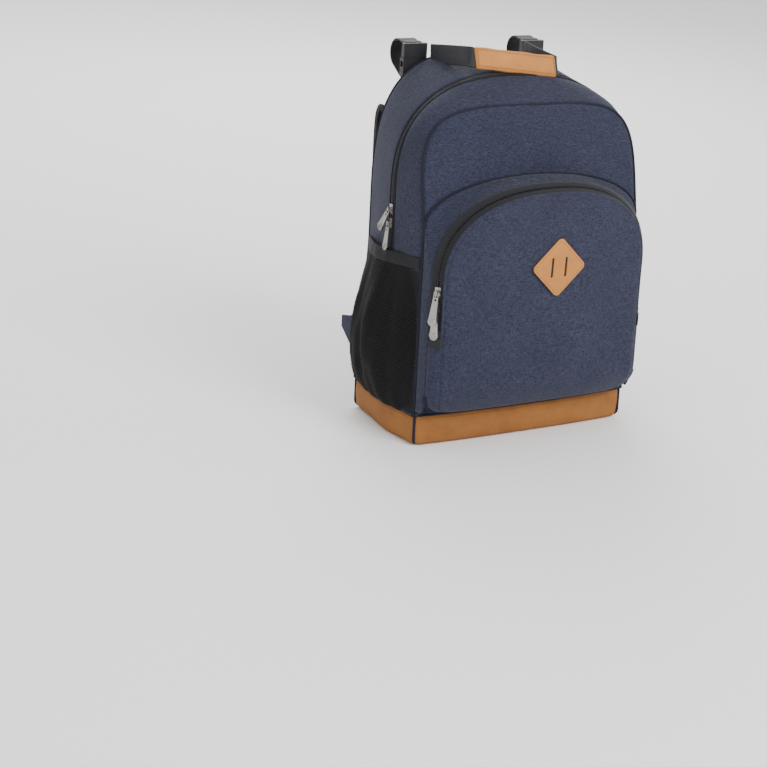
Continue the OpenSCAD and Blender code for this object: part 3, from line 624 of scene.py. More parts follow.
for side, word in ((-1, "left"), (1, "right")):
    curl = []
    for z in heights[:-2]:
        u = min(1, max(0, (z - P_LOW) / CORNER))
        row = []
        for k in range(6):
            d = k / 5
            e = FACE.v[0] + (WALL_EDGE.v[0] - FACE.v[0]) * d
            half = e - CORNER + CORNER * math.sqrt(1 - (1 - u) ** 2)
            y = FACE.v[4] + (WALL_EDGE.v[4] - FACE.v[4]) * d
            q = pulled_in(Vector((side * half, y, z)))
            row.append(q + Vector((side, -1, 0)) * 0.0012 * math.sin(math.pi * d))
        curl.append(row)
    turn = grid("pocket_corner_" + word, curl, navy, WALL, turned=side < 0)
    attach(turn, "bag")

pocket_welt = tube("pocket_welt", [on_face(s.x, s.z) - Vector((0, 0.0006, 0)) for s in SEAM.arch(P_LOW, 80, 30)],
                   0.0013, piping)
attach(pocket_welt, "bag")
low_line = [pulled_in(Vector((side_x * (WALL_EDGE.v[0] - CORNER + CORNER * math.sin(a)), WALL_EDGE.v[4],
                              P_LOW + CORNER * (1 - math.cos(a)))))
            for side_x, a in [(-1, math.radians(88 - 4 * i)) for i in range(23)] +
            [(1, math.radians(4 * i)) for i in range(23)]]
foot_welt = tube("pocket_foot_welt", [p + Vector((math.copysign(0.0010, p.x), -0.0004, -0.0004)) for p in low_line],
                 0.0017, piping)
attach(foot_welt, "bag")

# ---- Zips ----
# Black woven tape with a spiral of nylon teeth on each edge. The halves meet along one line;
# nickel sliders ride on it, and the pocket's tape is the wider one.

tape = Finish("zip_tape", Roughness=0.85, Sheen_Weight=0.1, Specular_IOR_Level=0.2)
knit = tape.grain(1500, 1500, 1500, 1.5)
tape.feed("Base Color", tape.between(knit, tint(14, 14, 17), tint(42, 42, 47)))
tape.relief(knit, 0.0003, 0.6)
coil = Finish("zip_coil", Roughness=0.42, Specular_IOR_Level=0.4)
coil.feed("Base Color", coil.between(coil.grain(60, 60, 60), tint(20, 20, 23), tint(38, 38, 42)))
coil.relief(coil.grain(2500, 2500, 2500), 0.0001, 0.4)


def teeth(name, points, outward, across, finish, pitch=0.0021):
    """A row of coil turns along points. outward and across give directions at a point's place in the row."""
    mesh = bpy.data.meshes.new(name)
    verts, faces, travelled, due = [], [], 0.0, 0.0
    for i, (a, b) in enumerate(zip(points, points[1:])):
        step = (b - a).length
        along = (b - a) / step
        out = outward(a)
        out = (out - along * out.dot(along)).normalized()
        flat = along.cross(out).normalized() * across
        while due < travelled + step:
            mid = a + along * (due - travelled)
            n = len(verts)
            for u, v, w in ((-1, 0, 0.6), (-0.6, 0.7, 0.75), (0.5, 1, 0.9), (1, 0.3, 0.8), (0.6, -0.6, 0.8),
                            (-0.6, -0.6, 0.7)):
                for s in (-1, 1):
                    verts.append(mid + flat * 0.0011 * u + out * 0.0006 * v + along * s * 0.00068 * w)
            faces += [(n + 2 * k, n + 2 * ((k + 1) % 6), n + 2 * ((k + 1) % 6) + 1, n + 2 * k + 1) for k in range(6)]
            faces += [tuple(n + 2 * k for k in range(5, -1, -1)), tuple(n + 2 * k + 1 for k in range(6))]
            due += pitch
        travelled += step
    mesh.from_pydata([tuple(v) for v in verts], [], faces)
    return made(name, mesh, finish)


def radial(p):
    return Vector((p.x, 0, max(0.0, p.z - BEND)))




def raised(points, lift):
    return [p + radial(p).normalized() * lift for p in points]


rear_tape = grid("main_zip_tape_rear", [raised(behind(d).arch(ZIP_END), 0.0002) for d in
                                        (0.0006, 0.002, 0.0035, TAPE + 0.0015)], tape, 0.0011)
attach(rear_tape, "bag")
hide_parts("main_zip_tape_rear")
front_tape = grid("main_zip_tape_front", [raised(ahead(d).arch(ZIP_END), 0.0002) for d in
                                          (0.0006, 0.002, 0.0035, TAPE + 0.0015)], tape, 0.0011, turned=True)
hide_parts("main_zip_tape_legs", "main_zip_tape_flap")
flap_bent(front_tape)
rear_coil = teeth("main_zip_coil_rear", raised(behind(0.0012).arch(ZIP_END, 220, 40), 0.0004), radial, 1, coil)
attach(rear_coil, "bag")
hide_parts("main_zip_teeth_rear")
front_coil = teeth("main_zip_coil_front", raised(ahead(0.0012).arch(ZIP_END, 220, 40), 0.0004), radial, -1, coil)
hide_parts("main_zip_teeth_legs", "main_zip_teeth_flap")
flap_bent(front_coil)
for d, word in ((TAPE + 0.0004, "rear"), (TAPE + 0.0004, "front")):
    station = behind if word == "rear" else ahead
    lip = tube("main_zip_lip_" + word, raised(station(d).arch(ZIP_END, 90, 30), 0.0006), 0.0009, piping)
    if word == "rear":
        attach(lip, "bag")
    else:
        flap_bent(lip)


def outward_pocket(p):
    away = Vector((p.x, 0, max(0.0, p.z - 0.212))).normalized()
    return away * math.cos(ANGLE) + Vector((0, -math.sin(ANGLE), 0))


def pocket_line(d, lift=0.0002, count=72, low=None):
    return [p + outward_pocket(p) * lift for p in toward(d).arch(P_FOLD + 0.0005 if low is None else low, count)]


p_rear = grid("pocket_tape_rear", [pocket_line(d) for d in (-0.0012, -0.003, -0.006, -POCKET_TAPE - 0.0008)],
              tape, 0.0010)
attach(p_rear, "bag")
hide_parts("pocket_zip_tape_rear")
p_front = grid("pocket_tape_flap", [pocket_line(d) for d in (0.0009, 0.003, 0.0055, POCKET_TAPE - 0.0022)],
               tape, 0.0010, turned=True)
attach(p_front, "pocket_flap")
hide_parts("pocket_zip_tape_flap")
lip_rows = [pocket_line(POCKET_TAPE + d, lift)
            for d, lift in ((-0.0030, 0.0006), (-0.0024, 0.0012), (-0.0012, 0.0010), (0.0004, -0.0002))]
lip_cloth = grid("pocket_flap_edge", lip_rows, navy, 0.0006, turned=True)
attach(lip_cloth, "pocket_flap")
pr_coil = teeth("pocket_zip_coil_rear", pocket_line(-0.0012, 0.0006, 200), outward_pocket, 1, coil)
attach(pr_coil, "bag")
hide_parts("pocket_zip_teeth_rear")
# The flap's row starts above the sliders, which lets it swing past them
flap_row = [p for p in pocket_line(0.0012, 0.0006, 200)
            if p.x > 0 or p.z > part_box("pocket_slider_upper")[1].z + 0.008]
pf_coil = teeth("pocket_zip_coil_flap", flap_row, outward_pocket, -1, coil)
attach(pf_coil, "pocket_flap")
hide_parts("pocket_zip_teeth_flap")

nickel = Finish("pull_nickel", Metallic=1.0, Roughness=0.26)
scuff = nickel.grain(60, 160, 60, 1.0)
nickel.feed("Base Color", nickel.between(scuff, tint(140, 137, 132), tint(172, 169, 163)))
nickel.feed("Roughness", nickel.steps(scuff, 0.2, 0.9) * 0.12 + 0.26)
nickel.relief(scuff, 0.00001, 0.1)


def refinished(node, finish, edge=0.0):
    """Gives a CAD piece that keeps its shape a better material and softened edges."""
    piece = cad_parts[node]
    piece.data.materials.clear()
    piece.data.materials.append(finish.material)
    if edge:
        m = piece.modifiers.new("edge", "BEVEL")
        m.width, m.segments, m.limit_method, m.angle_limit = edge, 3, "ANGLE", math.radians(40)
        m.harden_normals = False
    return piece


for node in ("main_slider_upper", "main_slider_lower", "pocket_slider_upper", "pocket_slider_lower",
             "main_pull_upper", "main_pull_lower", "pocket_pull_upper", "pocket_pull_lower"):
    refinished(node, nickel, 0.0003)


def pull_medal(node, body):
    """A raised rim and boss on the round end of a zip pull."""
    points = [v.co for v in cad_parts[node].data.vertices]
    low = min(p.z for p in points)
    end = [p for p in points if p.z < low + 0.0104]
    middle = Vector([(min(p[k] for p in end) + max(p[k] for p in end)) / 2 for k in range(3)])
    flat = min(((Vector((math.cos(a), math.sin(a), lean * 0.05))) for a in (math.pi * k / 90 for k in range(90))
                for lean in (-3, -2, -1, 0, 1, 2, 3, 4, 5, 6)),
               key=lambda n: max(abs((p - middle).dot(n.normalized())) for p in end)).normalized()
    if flat.dot(middle - Vector((0, 0.02, middle.z))) < 0:
        flat = -flat
    u = flat.cross(Vector((0, 0, 1))).normalized()
    w = flat.cross(u)
    for size, thick, word in ((0.0040, 0.0006, "rim"), (0.0018, 0.0005, "boss")):
        ring = [middle + flat * 0.0009 + size * (math.cos(a) * u + math.sin(a) * w)
                for a in (2 * math.pi * k / 28 for k in range(28))]
        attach(tube("%s_%s" % (node, word), ring, thick, nickel, 8, True), body)


for node in ("main_pull_upper", "main_pull_lower", "pocket_pull_upper", "pocket_pull_lower"):
    pull_medal(node, node)


def plate(name, outlines, thick, edge, finish, matrix):
    """A flat piece cut to the first outline, with the others cut out of it."""
    curve = bpy.data.curves.new(name, "CURVE")
    curve.dimensions, curve.fill_mode = "2D", "BOTH"
    curve.extrude, curve.bevel_depth, curve.bevel_resolution = thick / 2 - edge, edge, 2
    curve.offset = -edge
    for outline in outlines:
        spline = curve.splines.new("POLY")
        spline.points.add(len(outline) - 1)
        for point, (x, y) in zip(spline.points, outline):
            point.co = (x, y, 0, 1)
        spline.use_cyclic_u = True
    shape = bpy.data.objects.new(name + "_shape", curve)
    scene.collection.objects.link(shape)
    mesh = bpy.data.meshes.new_from_object(shape.evaluated_get(bpy.context.evaluated_depsgraph_get()))
    bpy.data.objects.remove(shape)
    mesh.transform(matrix)
    return made(name, mesh, finish)


def soft_box(w, h, r, turn=0.0, cx=0.0, cy=0.0, n=6):
    """The outline of a rectangle with round corners, turned about its middle."""
    points = []
    for sx, sy, a0 in ((1, 1, 0), (-1, 1, 90), (-1, -1, 180), (1, -1, 270)):
        for k in range(n + 1):
            a = math.radians(a0 + 90 * k / n)
            points.append((sx * (w / 2 - r) + r * math.cos(a), sy * (h / 2 - r) + r * math.sin(a)))
    c, s = math.cos(turn), math.sin(turn)
    return [(cx + x * c - y * s, cy + x * s + y * c) for x, y in points]


end_cloth = Finish("zip_end_cloth", Roughness=0.8, Base_Color=tint(20, 20, 23))
end_cloth.relief(end_cloth.grain(1500, 1500, 1500), 0.0003, 0.6)
for side, word in ((-1, "left"), (1, "right")):
    z = P_FOLD - 0.0062
    spin = Matrix.Rotation(side * (math.pi / 2 - ANGLE), 4, "Z") @ Matrix.Rotation(math.pi / 2, 4, "X")
    middle = Vector((side * ZIP_LINE.v[0], ZIP_LINE.v[4], z))
    middle += Vector((side * math.cos(ANGLE), -math.sin(ANGLE), 0)) * 0.0018
    tab = plate("zip_end_tab_" + word, [soft_box(0.0165, 0.0125, 0.0008)], 0.0014, 0.0004, end_cloth,
                Matrix.Translation(middle) @ spin)
    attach(tab, "bag")
    if side > 0:
        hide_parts("zip_end_tabs")

# ---- Lash patch ----
# A diamond of the same suede is stitched to the pocket's face, with two slots for a cord.

patch_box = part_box("lash_patch")
patch_mid = (patch_box[0] + patch_box[1]) / 2
patch_lean = math.atan2(patch_box[1].y - patch_box[0].y - 0.0016, patch_box[1].z - patch_box[0].z)
PATCH = 0.054
patch_at = Matrix.Translation(patch_mid + Vector((0, -0.0006, 0))) @ Matrix.Rotation(math.pi / 2 + patch_lean, 4, "X")
patch = plate("lash_patch_leather", [soft_box(PATCH, PATCH, 0.006, math.pi / 4)] +
              [soft_box(0.0030, 0.025, 0.0014, 0, cx)[::-1] for cx in (-0.0095, 0.0095)],
              0.0020, 0.0005, fair_tan, patch_at)
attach(patch, "pocket_flap")
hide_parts("lash_patch")
sewn = [patch_at @ Vector((x, y, 0.0010)) for x, y in soft_box(PATCH - 0.0052, PATCH - 0.0052, 0.005, math.pi / 4)]
patch_stitch = stitches("lash_patch_stitches", sewn + sewn[:1], tan_thread)
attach(patch_stitch, "pocket_flap")
# Black plates behind the slots are painted shade: they darken the slots where the pocket face lies in the patch's
# shadow; there is no lining there.
for cx, word in ((-0.0095, "left"), (0.0095, "right")):
    shadow = plate("lash_slot_shade_" + word, [soft_box(0.0034, 0.0254, 0.0014, 0, cx)], 0.0008, 0.0002, end_cloth,
                   patch_at @ Matrix.Translation((0, 0, -0.0006)))
    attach(shadow, "pocket_flap")

# ---- Side pockets ----
# Stretch mesh with small hexagonal holes is gathered into the foot band and sewn up the seams.
# Its mouth is bound with a smooth elastic hem.

mesh_cloth = Finish("stretch_mesh", Roughness=0.75, Specular_IOR_Level=0.25)
mesh_cloth.feed("Base Color", mesh_cloth.between(mesh_cloth.grain(500, 500, 500), tint(3, 3, 4), tint(15, 14, 17)))
HOLE = 0.0031
split = mesh_cloth.node("ShaderNodeSeparateXYZ", Vector=mesh_cloth.place(), out=1)
up = mesh_cloth.node("ShaderNodeSeparateXYZ", Vector=mesh_cloth.place(), out=2)
cells = []
for offset in (0.0, 0.5):
    u = (split / HOLE + (10 + offset)).part() - 0.5
    v = ((up / (HOLE * 1.732) + (10 + offset)).part() - 0.5) * 1.732
    cells.append(u * u + v * v)
near_hole = cells[0].least(cells[1])
mesh_cloth.feed("Alpha", near_hole > 0.062)
mesh_cloth.relief(mesh_cloth.steps(near_hole, 0.09, 0.25), 0.0006, 0.8)
sleeve_black = Finish("pocket_lining", Roughness=0.9, Specular_IOR_Level=0.1, Base_Color=tint(4, 4, 5))
sleeve_black.relief(sleeve_black.grain(900, 900, 900), 0.0003, 0.5)
lining = Finish("elastic_hem", Roughness=0.7, Specular_IOR_Level=0.25)
rib_knit = lining.grain(300, 300, 2600, 1.0)
lining.feed("Base Color", lining.between(rib_knit, tint(9, 9, 11), tint(28, 28, 32)))
lining.relief(rib_knit, 0.0003, 0.5)

M0, M1 = Y_FOOT + 0.002, Y_BACK - 0.005
M_LOW = BAND - 0.001
HEM = 0.015
# How far the net stands off the bag's side where it is sewn down
CLING = 0.0006
columns = [M0 + (M1 - M0) * c / 48 for c in range(49)]


def mouth_at(y):
    return 0.236 + (0.226 - 0.236) * (y - M0) / (M1 - M0)


def swollen(y, z, side):
    t = (y - M0) / (M1 - M0)
    spread = max(0.0, math.sin(math.pi * t ** 1.25)) ** (0.36 + 0.5 * (1 - t))
    u = min(1, max(0, (z - M_LOW) / (mouth_at(y) - M_LOW)))
    pleat = math.exp(-((y - 0.025) / 0.031) ** 2)
    out = 0.028 * max(0.0, math.sin(math.pi * u ** 0.8)) ** 0.8 * (1 - 0.75 * u ** 4) + 0.008 * pleat * u ** 3 + 0.0004
    folds = 0.0016 * math.sin(t * 40 + 3 * u) * (1 - u) ** 0.7
    folds += 0.0021 * math.sin(t * 19 + 1.5 - 4 * u) * math.sin(math.pi * u) ** 0.7
    return spread * (out + folds + creased(Vector((side, y, z)), 0.03, 0.0016))


def edge_at(y, z):
    return drawn_in(Vector((side_at(y), y, z))).x


for side, word in ((-1, "left"), (1, "right")):
    rows = [[Vector((side * (edge_at(y, z) + CLING + swollen(y, z, side)), y, z)) for y, z in
             ((y, M_LOW + (mouth_at(y) - HEM - M_LOW) * r / 40) for y in columns)]
            for r in range(41)]
    net = grid("mesh_pocket_net_" + word, rows, mesh_cloth, turned=side < 0)
    lined = [[p - Vector((side * min(0.0011, abs(p.x) - edge_at(p.y, p.z) - 0.0003), 0, 0)) for p in row]
             for row in rows]
    inner = grid("mesh_pocket_lining_" + word, lined, sleeve_black, turned=side < 0)
    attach(inner, "bag")
    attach(net, "bag")
    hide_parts("mesh_pocket_" + word)
    rows = []
    for f, out in ((HEM + 0.0008, 0.0004), (HEM, 0.0013), (0.0105, 0.0017), (0.0070, 0.0012), (0.0035, 0.0017),
                   (0.0006, 0.0014), (0.0, 0.0004)):
        row = []
        for y in columns:
            z = mouth_at(y) - f
            row.append(Vector((side * (edge_at(y, z) + CLING + swollen(y, z, side) + out), y, z)))
        rows.append(row)
    hem = grid("mesh_pocket_hem_" + word, rows, lining, 0.0014, 1, turned=side < 0)
    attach(hem, "bag")
    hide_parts("mesh_hem_" + word)

# ---- Carry handle ----
# A loop of 25 mm black webbing comes out of the back seam at the top. Its bar is wrapped in
# padded leather, closed by a seam and stitched along both edges.

webbing = Finish("black_webbing", Roughness=0.62, Sheen_Weight=0.1, Specular_IOR_Level=0.3)
cords = webbing.grain(900, 900, 900, 2.0)
ribs = webbing.node("ShaderNodeTexWave", {"wave_type": "BANDS", "bands_direction": "DIAGONAL"},
                    Vector=webbing.stretched(1, 1, 1), Scale=190.0, Distortion=1.2, Detail=1.0)
webbing.feed("Base Color", webbing.between(webbing.steps(cords * 0.6 + ribs * 0.4, 0.25, 0.8),
                                           tint(14, 14, 17), tint(48, 48, 54)))
webbing.relief(ribs * 0.6 + cords * 0.5, 0.0004, 0.7)


def eased(points, per=5):
    """Points along a smooth curve through the given ones."""
    out = []
    for i in range(len(points) - 1):
        p0, p1, p2, p3 = (points[max(0, i - 1)], points[i], points[i + 1], points[min(len(points) - 1, i + 2)])
        for k in range(per):
            t = k / per
            out.append(0.5 * ((2 * p1) + (p2 - p0) * t + (2 * p0 - 5 * p1 + 4 * p2 - p3) * t * t +
                              (3 * p1 - p0 - 3 * p2 + p3) * t ** 3))
    return out + [points[-1]]


def strap(name, points, wide, thick, across, finish=webbing, edge=0.6):
    """Webbing along points: a flat section with rounded selvedges. across gives its width's direction."""
    section = [(-1, 0), (-0.97, 0.8), (-0.86, edge + 0.5), (-0.8, 1), (0.8, 1), (0.86, edge + 0.5), (0.97, 0.8), (1, 0),
               (0.97, -0.8), (0.86, -edge - 0.5), (0.8, -1), (-0.8, -1), (-0.86, -edge - 0.5), (-0.97, -0.8)]
    section = [(u, max(-1.0, min(1.0, v))) for u, v in section]
    verts, faces = [], []
    n = len(section)
    for i, p in enumerate(points):
        along = (points[min(i + 1, len(points) - 1)] - points[max(i - 1, 0)]).normalized()
        w = across(i / (len(points) - 1)) if callable(across) else across
        w = (w - along * w.dot(along)).normalized()
        out = along.cross(w)
        verts += [p + w * u * wide / 2 + out * v * thick / 2 for u, v in section]
    for i in range(len(points) - 1):
        faces += [(i * n + k, i * n + (k + 1) % n, (i + 1) * n + (k + 1) % n, (i + 1) * n + k) for k in range(n)]
    faces += [tuple(range(n - 1, -1, -1)), tuple((len(points) - 1) * n + k for k in range(n))]
    mesh = bpy.data.meshes.new(name)
    mesh.from_pydata([tuple(v) for v in verts], [], faces)
    return made(name, mesh, finish)


TILT = math.radians(7)
handle_at = Matrix.Translation((0, 0.074, 0.453)) @ Matrix.Rotation(TILT, 4, "X")
loop_points = [Vector((s * x, y, 0.0125 - 0.015 * max(0.0, 1 + y / 0.080))) for s, x, y in
               [(-1, 0.0680, 0.002), (-1, 0.0675, -0.006), (-1, 0.0660, -0.02), (-1, 0.064, -0.04), (-1, 0.0625, -0.06),
                (-1, 0.0618, -0.074), (-1, 0.0605, -0.0805), (-1, 0.057, -0.0835), (-1, 0.050, -0.0842),
                (-1, 0.03, -0.084),
                (1, 0.0, -0.084)]]
loop_points += [Vector((-p.x, p.y, p.z)) for p in reversed(loop_points[:-1])]
LEAN = math.radians(26)


def dropped(p):
    """The bar lies a little lower and further forward at its right end."""
    front_share = min(1.0, max(0.0, -p.y / 0.084))
    return handle_at @ (p - Vector((0, 0.004, 0.007)) * (0.35 + p.x / 0.062) * front_share)


def leaning(f):
    """The webbing stands on edge at its roots and leans back along the bar."""
    a = LEAN * min(1.0, max(0.0, 5 * (0.5 - abs(f - 0.5)) - 0.6))
    return handle_at.to_3x3() @ Vector((0, math.sin(a), math.cos(a)))


handle_loop = strap("handle_loop", [dropped(p) for p in eased(loop_points)], 0.0245, 0.0018, leaning)
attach(handle_loop, "handle")
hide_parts("handle_webbing")
GRIP = 0.055
verts, faces, N = [], [], 24
steps = [-GRIP + 2 * GRIP * i / 44 for i in range(45)]
for x in steps:
    end = max(0.0, 1 - (GRIP - abs(x)) / 0.0014)
    for k in range(N):
        a = 2 * math.pi * k / N
        y = 0.0042 * math.copysign(abs(math.cos(a)) ** 0.7, math.cos(a))
        z = 0.0134 * math.copysign(abs(math.sin(a)) ** 0.55, math.sin(a))
        q = Vector((x, y * (1 - 0.2 * end), z * (1 - 0.05 * end)))
        wave = creased(q + Vector((0, 0, 0.4)), 0.018, 0.0006) + 0.0005 * math.sin(x * 130) * (z / 0.0134)
        q += Vector((0, math.cos(a), math.sin(a) * 0.8)) * wave
        verts.append(dropped(Matrix.Rotation(-LEAN, 3, "X") @ q + Vector((0, -0.084, 0.0125))))
for i in range(len(steps) - 1):
    faces += [(i * N + k, i * N + (k + 1) % N, (i + 1) * N + (k + 1) % N, (i + 1) * N + k) for k in range(N)]
faces += [tuple(range(N - 1, -1, -1)), tuple((len(steps) - 1) * N + k for k in range(N))]
mesh = bpy.data.meshes.new("handle_wrap")
mesh.from_pydata([tuple(v) for v in verts], [], faces)
wrap = made("handle_wrap", mesh, fair_tan)
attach(wrap, "handle")
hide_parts("handle_grip")
sewn = []
for y in (-0.0046, 0.0046):
    row = [dropped(Matrix.Rotation(-LEAN, 3, "X") @ Vector((x * 0.96, y, z)) + Vector((0, -0.084, 0.0125))) for x, z in
           [(-GRIP, -0.0100)] + [(-GRIP, -0.010 + 0.020 * k / 4) for k in range(1, 5)] +
           [(-GRIP + 2 * GRIP * k / 20, 0.0100) for k in range(1, 21)] +
           [(GRIP, 0.010 - 0.020 * k / 4) for k in range(1, 5)]
           + [(GRIP - 2 * GRIP * k / 20, -0.0100) for k in range(1, 21)]]
    sewn.append(stitches("handle_stitches_" + ("front" if y < 0 else "rear"), row, tan_thread))
    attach(sewn[-1], "handle")

# ---- Back and shoulder straps ----
# The back is navy cloth under a quilted pad of black spacer mesh, and the foam shoulder
# straps are covered with the same mesh and bound with tape.

spacer = Finish("spacer_mesh", Roughness=0.85, Sheen_Weight=0.2, Specular_IOR_Level=0.2)
pores = spacer.node("ShaderNodeTexVoronoi", {"feature": "F1"}, Vector=spacer.place(), Scale=420.0)
spacer.feed("Base Color", spacer.between(spacer.steps(pores, 0.2, 0.6), tint(12, 12, 14), tint(44, 44, 49)))
spacer.relief(pores, 0.0006, 0.8)

back_cloth = grid("back_cloth", back_rows, navy, WALL, turned=True)
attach(back_cloth, "bag")
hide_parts("back_panel")


def stuffed(piece, pressure=4.0, cap=0.006, voxel=0.005):
    """Fills a closed piece like foam in a cover: cloth under pressure, held within cap of its shape."""
    m = piece.modifiers.new("even", "REMESH")
    m.mode, m.voxel_size = "VOXEL", voxel
    settled(piece)
    start = [v.co.copy() for v in piece.data.vertices]
    m = piece.modifiers.new("cover", "CLOTH")
    m.settings.use_pressure = True
    m.settings.uniform_pressure_force = pressure
    m.settings.effector_weights.gravity = 0
    m.settings.quality = 5
    m.collision_settings.use_collision = False
    m.point_cache.frame_start, m.point_cache.frame_end = 1, 20
    for f in range(1, 21):
        scene.frame_set(f)
    settled(piece)
    scene.frame_set(1)
    for v, s in zip(piece.data.vertices, start):
        move = v.co - s
        if move.length > cap:
            v.co = s + move.normalized() * cap
    m = piece.modifiers.new("smoothing", "SUBSURF")
    m.levels = m.render_levels = 1
    return settled(piece)


def pad_form(name, points, wide, thick, across, finish, narrow=0.7):
    """A closed strap form with crowned faces and thin edges, to be stuffed."""
    section = [(math.cos(a), math.copysign(abs(math.sin(a)) ** narrow, math.sin(a)))
               for a in (2 * math.pi * k / 20 for k in range(20))]
    verts, faces, n = [], [], len(section)
    last = len(points) - 1
    for i, p in enumerate(points):
        along = (points[min(i + 1, last)] - points[max(i - 1, 0)]).normalized()
        w = (across - along * across.dot(along)).normalized()
        out = along.cross(w)
        end = min(1.0, 0.35 + 0.65 * min(i, last - i) / 2)
        size = wide(i / last) if callable(wide) else wide
        verts += [p + w * u * size / 2 + out * v * end * thick / 2 for u, v in section]
    for i in range(last):
        faces += [(i * n + k, i * n + (k + 1) % n, (i + 1) * n + (k + 1) % n, (i + 1) * n + k) for k in range(n)]
    faces += [tuple(range(n - 1, -1, -1)), tuple(last * n + k for k in range(n))]
    mesh = bpy.data.meshes.new(name)
    mesh.from_pydata([tuple(v) for v in verts], [], faces)
    return made(name, mesh, finish)


PAD_X, PAD_W = 0.096, 0.058
Y0, Y1 = Y_BACK + 0.0063, Y_BACK + 0.032
PAD_TOP, PAD_LOW = 0.390, 0.165
side_view = [(Y0, PAD_TOP - 0.022), (Y0 + 0.005, PAD_TOP - 0.012), (Y0 + 0.013, PAD_TOP - 0.008),
             (Y1 - 0.005, PAD_TOP - 0.014),
             (Y1, PAD_TOP - 0.030), (Y1 + 0.002, PAD_TOP - 0.070), (Y1, PAD_TOP - 0.120),
             (Y1 - 0.004, (PAD_TOP + PAD_LOW) / 2 - 0.030), (Y1 - 0.008, PAD_LOW + 0.003)]
for side, word in ((-1, "left"), (1, "right")):
    line = eased([Vector((side * PAD_X, y, z)) for y, z in side_view])
    foam = pad_form("shoulder_pad_" + word, line, lambda f: PAD_W * (0.93 - 0.16 * f * f), 0.0088,
                    Vector((1, 0, 0)), spacer)
    stuffed(foam, cap=0.0016)
    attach(foam, "bag")
    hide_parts("shoulder_strap_" + word)
    for off, mark in ((-1, "in"), (1, "out")):
        count = len(line) - 1
        bind = strap("shoulder_binding_%s_%s" % (word, mark),
                     [p + Vector((off * (PAD_W * (0.93 - 0.16 * (i / count) ** 2) / 2 - 0.0001), 0, 0))
                      for i, p in enumerate(line)],
                     0.0075, 0.0030, Vector((0, 1, 0)), tape)
        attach(bind, "bag")
    for z in (0.345, 0.300, 0.255, 0.210):
        i = min(range(len(line)), key=lambda k: abs(line[k].z - z) + (0.5 if k < 12 else 0))
        quilt = stitches("shoulder_quilting_%s_%d" % (word, round(z * 1000)),
                         [line[i] + Vector((x * side, 0.0062, 0)) for x in (-0.021, 0, 0.021)],
                         navy_thread, 0.0032, 0.0022, 0.0003)
        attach(quilt, "bag")
    refinished("ladder_lock_" + word, coil, 0.0008)
    refinished("buckle_socket_" + word, coil, 0.0009)
    refinished("buckle_prong_" + word, coil, 0.0008)

pad_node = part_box("back_pad")
P0, P1 = pad_node
rows, cols = 36, 34
mid_z = (P0.z + P1.z) / 2
front_sheet, back_sheet = [], []
for r in range(rows + 1):
    z = P0.z + 0.004 + (P1.z - P0.z - 0.008) * r / rows
    u = (z - mid_z) / ((P1.z - P0.z) / 2)
    half = (P1.x - 0.004) * (1 - 0.16 * max(0, u) ** 4 - 0.06 * max(0, -u) ** 6)
    line = []
    for c in range(cols + 1):
        t = 2 * c / cols - 1
        rim = max(0.0, (1 - t ** 6) * (1 - abs(u) ** 10)) ** 0.5
        channel = 0.75 * math.exp(-((abs(t) - 0.36) / 0.05) ** 2)
        channel += 0.75 * math.exp(-((((r / rows) * 4) % 1 - 0.5) / 0.10) ** 2)
        line.append(Vector((half * t, P0.y + 0.0008 + (P1.y - P0.y - 0.001) * rim * max(0.25, 1 - channel), z)))
    front_sheet.append(line)
    back_sheet.append([Vector((p.x, P0.y, p.z)) for p in line])
quilted = grid("back_quilt", front_sheet, spacer, turned=True)
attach(quilted, "bag")
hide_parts("back_pad")

# ---- Lower strap ends ----
# Navy wings are sewn into the side seams low down. Webbing turns from the ladder lock under
# each shoulder strap to the wing's outer end and over its upper edge.

for side, word in ((-1, "left"), (1, "right")):
    x = side * (BACK.v[0] - 0.0025)
    wing_line = [(Y_BACK + 0.0005, 0.0635), (Y_BACK + 0.046, 0.0925), (Y_BACK + 0.046, 0.1075),
                 (Y_BACK + 0.0005, 0.1185)]
    wing = plate("strap_wing_" + word, [wing_line], 0.0028, 0.0009, navy,
                 Matrix.Translation((x, 0, 0)) @ Matrix.Rotation(math.pi / 2, 4, "Z")
                 @ Matrix.Rotation(math.pi / 2, 4, "X"))
    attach(wing, "bag")
    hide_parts("wing_tab_" + word)
    sew = [Vector((x + side * 0.0015, y, z))
           for y, z in ((Y_BACK + 0.004, 0.070), (Y_BACK + 0.042, 0.0945), (Y_BACK + 0.042, 0.1050),
                        (Y_BACK + 0.004, 0.113))]
    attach(stitches("wing_stitches_" + word, sew, navy_thread), "bag")
    lock_y = Y_BACK + 0.024
    top = Vector((side * PAD_X, lock_y, 0.1404))
    end = Vector((side * 0.1479, Y_BACK + 0.032, 0.100))
    path = [top.lerp(end, i / 20) - Vector((0, 0, 0.010 * math.sin(math.pi * i / 20))) for i in range(21)]

    def turning(f, side=side):
        a = math.pi / 2 * math.sin(math.pi / 2 * f) ** 2
        return Vector((side * math.cos(a), 0.9 * math.sin(a), 0.42 * math.sin(a)))
    tail = strap("tail_strap_" + word, path, 0.0245, 0.0016, turning)
    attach(tail, "bag")
    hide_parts("tail_webbing_" + word)

# ---- Handlebar straps ----
# Two webbing loops with side-release buckles hang the bag from a handlebar. Each is sewn to
# the back, goes under and round the bar, and clips into its socket.

SOCKET_Y, SOCKET_LOW, SOCKET_H, PRONG_H = Y_BACK + 0.0105, TOP - 0.031, 0.023, 0.018
BAR_Y = SOCKET_Y + 0.0045 + 0.001 + 0.016 + 0.0018
BAR_Z = SOCKET_LOW + SOCKET_H + 0.002
LOOP_R = 0.0179
TAB_Y = Y_BACK + 0.0013
BAR_X = 0.085


def on_loop(degrees):
    a = math.radians(degrees)
    return (BAR_Y + LOOP_R * math.cos(a), BAR_Z + LOOP_R * math.sin(a))


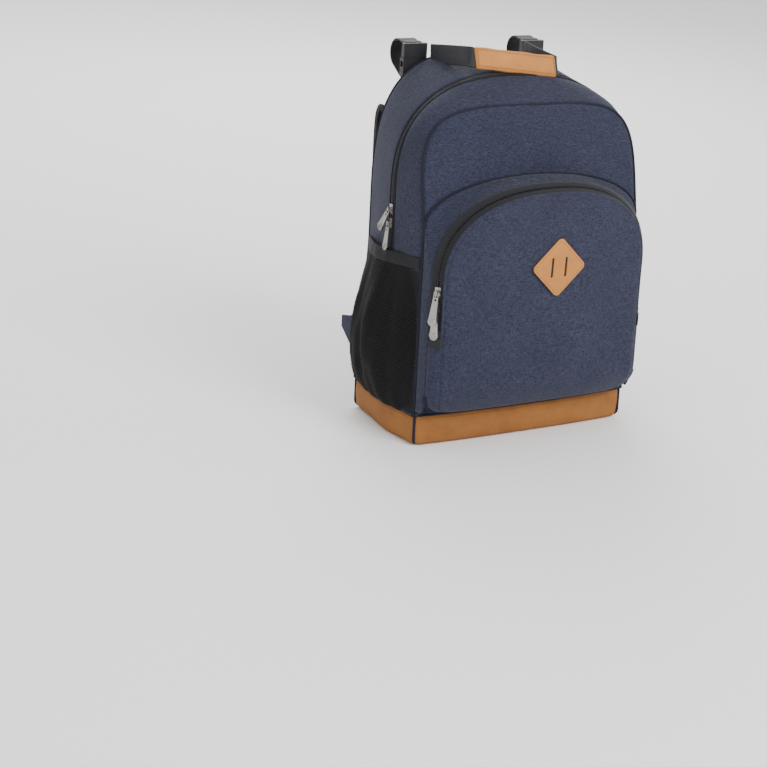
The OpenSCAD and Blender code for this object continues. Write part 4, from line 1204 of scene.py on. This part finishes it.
loop_path = [(TAB_Y, SOCKET_LOW - 0.017), (TAB_Y, SOCKET_LOW - 0.010), (TAB_Y + 0.0026, SOCKET_LOW - 0.0068),
             (SOCKET_Y - 0.002, SOCKET_LOW - 0.0056), (SOCKET_Y + 0.006, SOCKET_LOW - 0.0042),
             (SOCKET_Y + 0.015, SOCKET_LOW - 0.0005)] + [on_loop(290 + 121 * i / 12) for i in range(13)]
prong_top = SOCKET_LOW + SOCKET_H + CLEAR + PRONG_H
clip_path = [on_loop(53 + 62 * i / 8) for i in range(9)] + \
            [(SOCKET_Y + 0.007, prong_top + 0.0004), (SOCKET_Y + 0.0026, prong_top - 0.001),
             (SOCKET_Y, prong_top - 0.005),
             (SOCKET_Y, prong_top - PRONG_H + 0.005)]
tab_path = [(TAB_Y, SOCKET_LOW + 0.010), (TAB_Y, SOCKET_LOW + 0.001), (TAB_Y + 0.0016, SOCKET_LOW - 0.0018),
            (TAB_Y + 0.005, SOCKET_LOW - 0.003),
            (SOCKET_Y - 0.001, SOCKET_LOW - 0.0022), (SOCKET_Y, SOCKET_LOW + 0.0005), (SOCKET_Y, SOCKET_LOW + 0.0062)]
for side, word in ((-1, "left"), (1, "right")):
    for name, path, body, node in (("bar_loop_", loop_path, "bag", "bar_strap_"),
                                   ("clip_strap_", clip_path, "bar_buckle_" + word, "prong_webbing_"),
                                   ("socket_strap_", tab_path, "bag", "socket_tab_")):
        band = strap(name + word, [Vector((side * BAR_X, y, z)) for y, z in path], 0.0246, 0.0018, Vector((1, 0, 0)))
        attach(band, body)
        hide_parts(node + word)

# ---- Inner sleeve ----
# A gathered black sleeve inside the back holds bottles upright.

sleeve_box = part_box("inner_pocket")
S0, S1 = sleeve_box
rows = []
for r in range(16):
    z = S0.z + (S1.z - S0.z) * r / 15
    row = []
    for c in range(60):
        t = c / 59
        x = S0.x + (S1.x - S0.x) * t
        deep = (S1.y - S0.y - 0.003) * min(1.0, 9 * min(t, 1 - t)) ** 0.5
        fold = 0.0012 * math.sin(t * 110) * (r / 15)
        row.append(Vector((x, S1.y - deep * (1 - 0.15 * (r / 15)) + fold + 0.001, z)))
    rows.append(row)
sleeve = grid("inner_sleeve", rows, lining, 0.0012)
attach(sleeve, "bag")
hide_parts("inner_pocket")
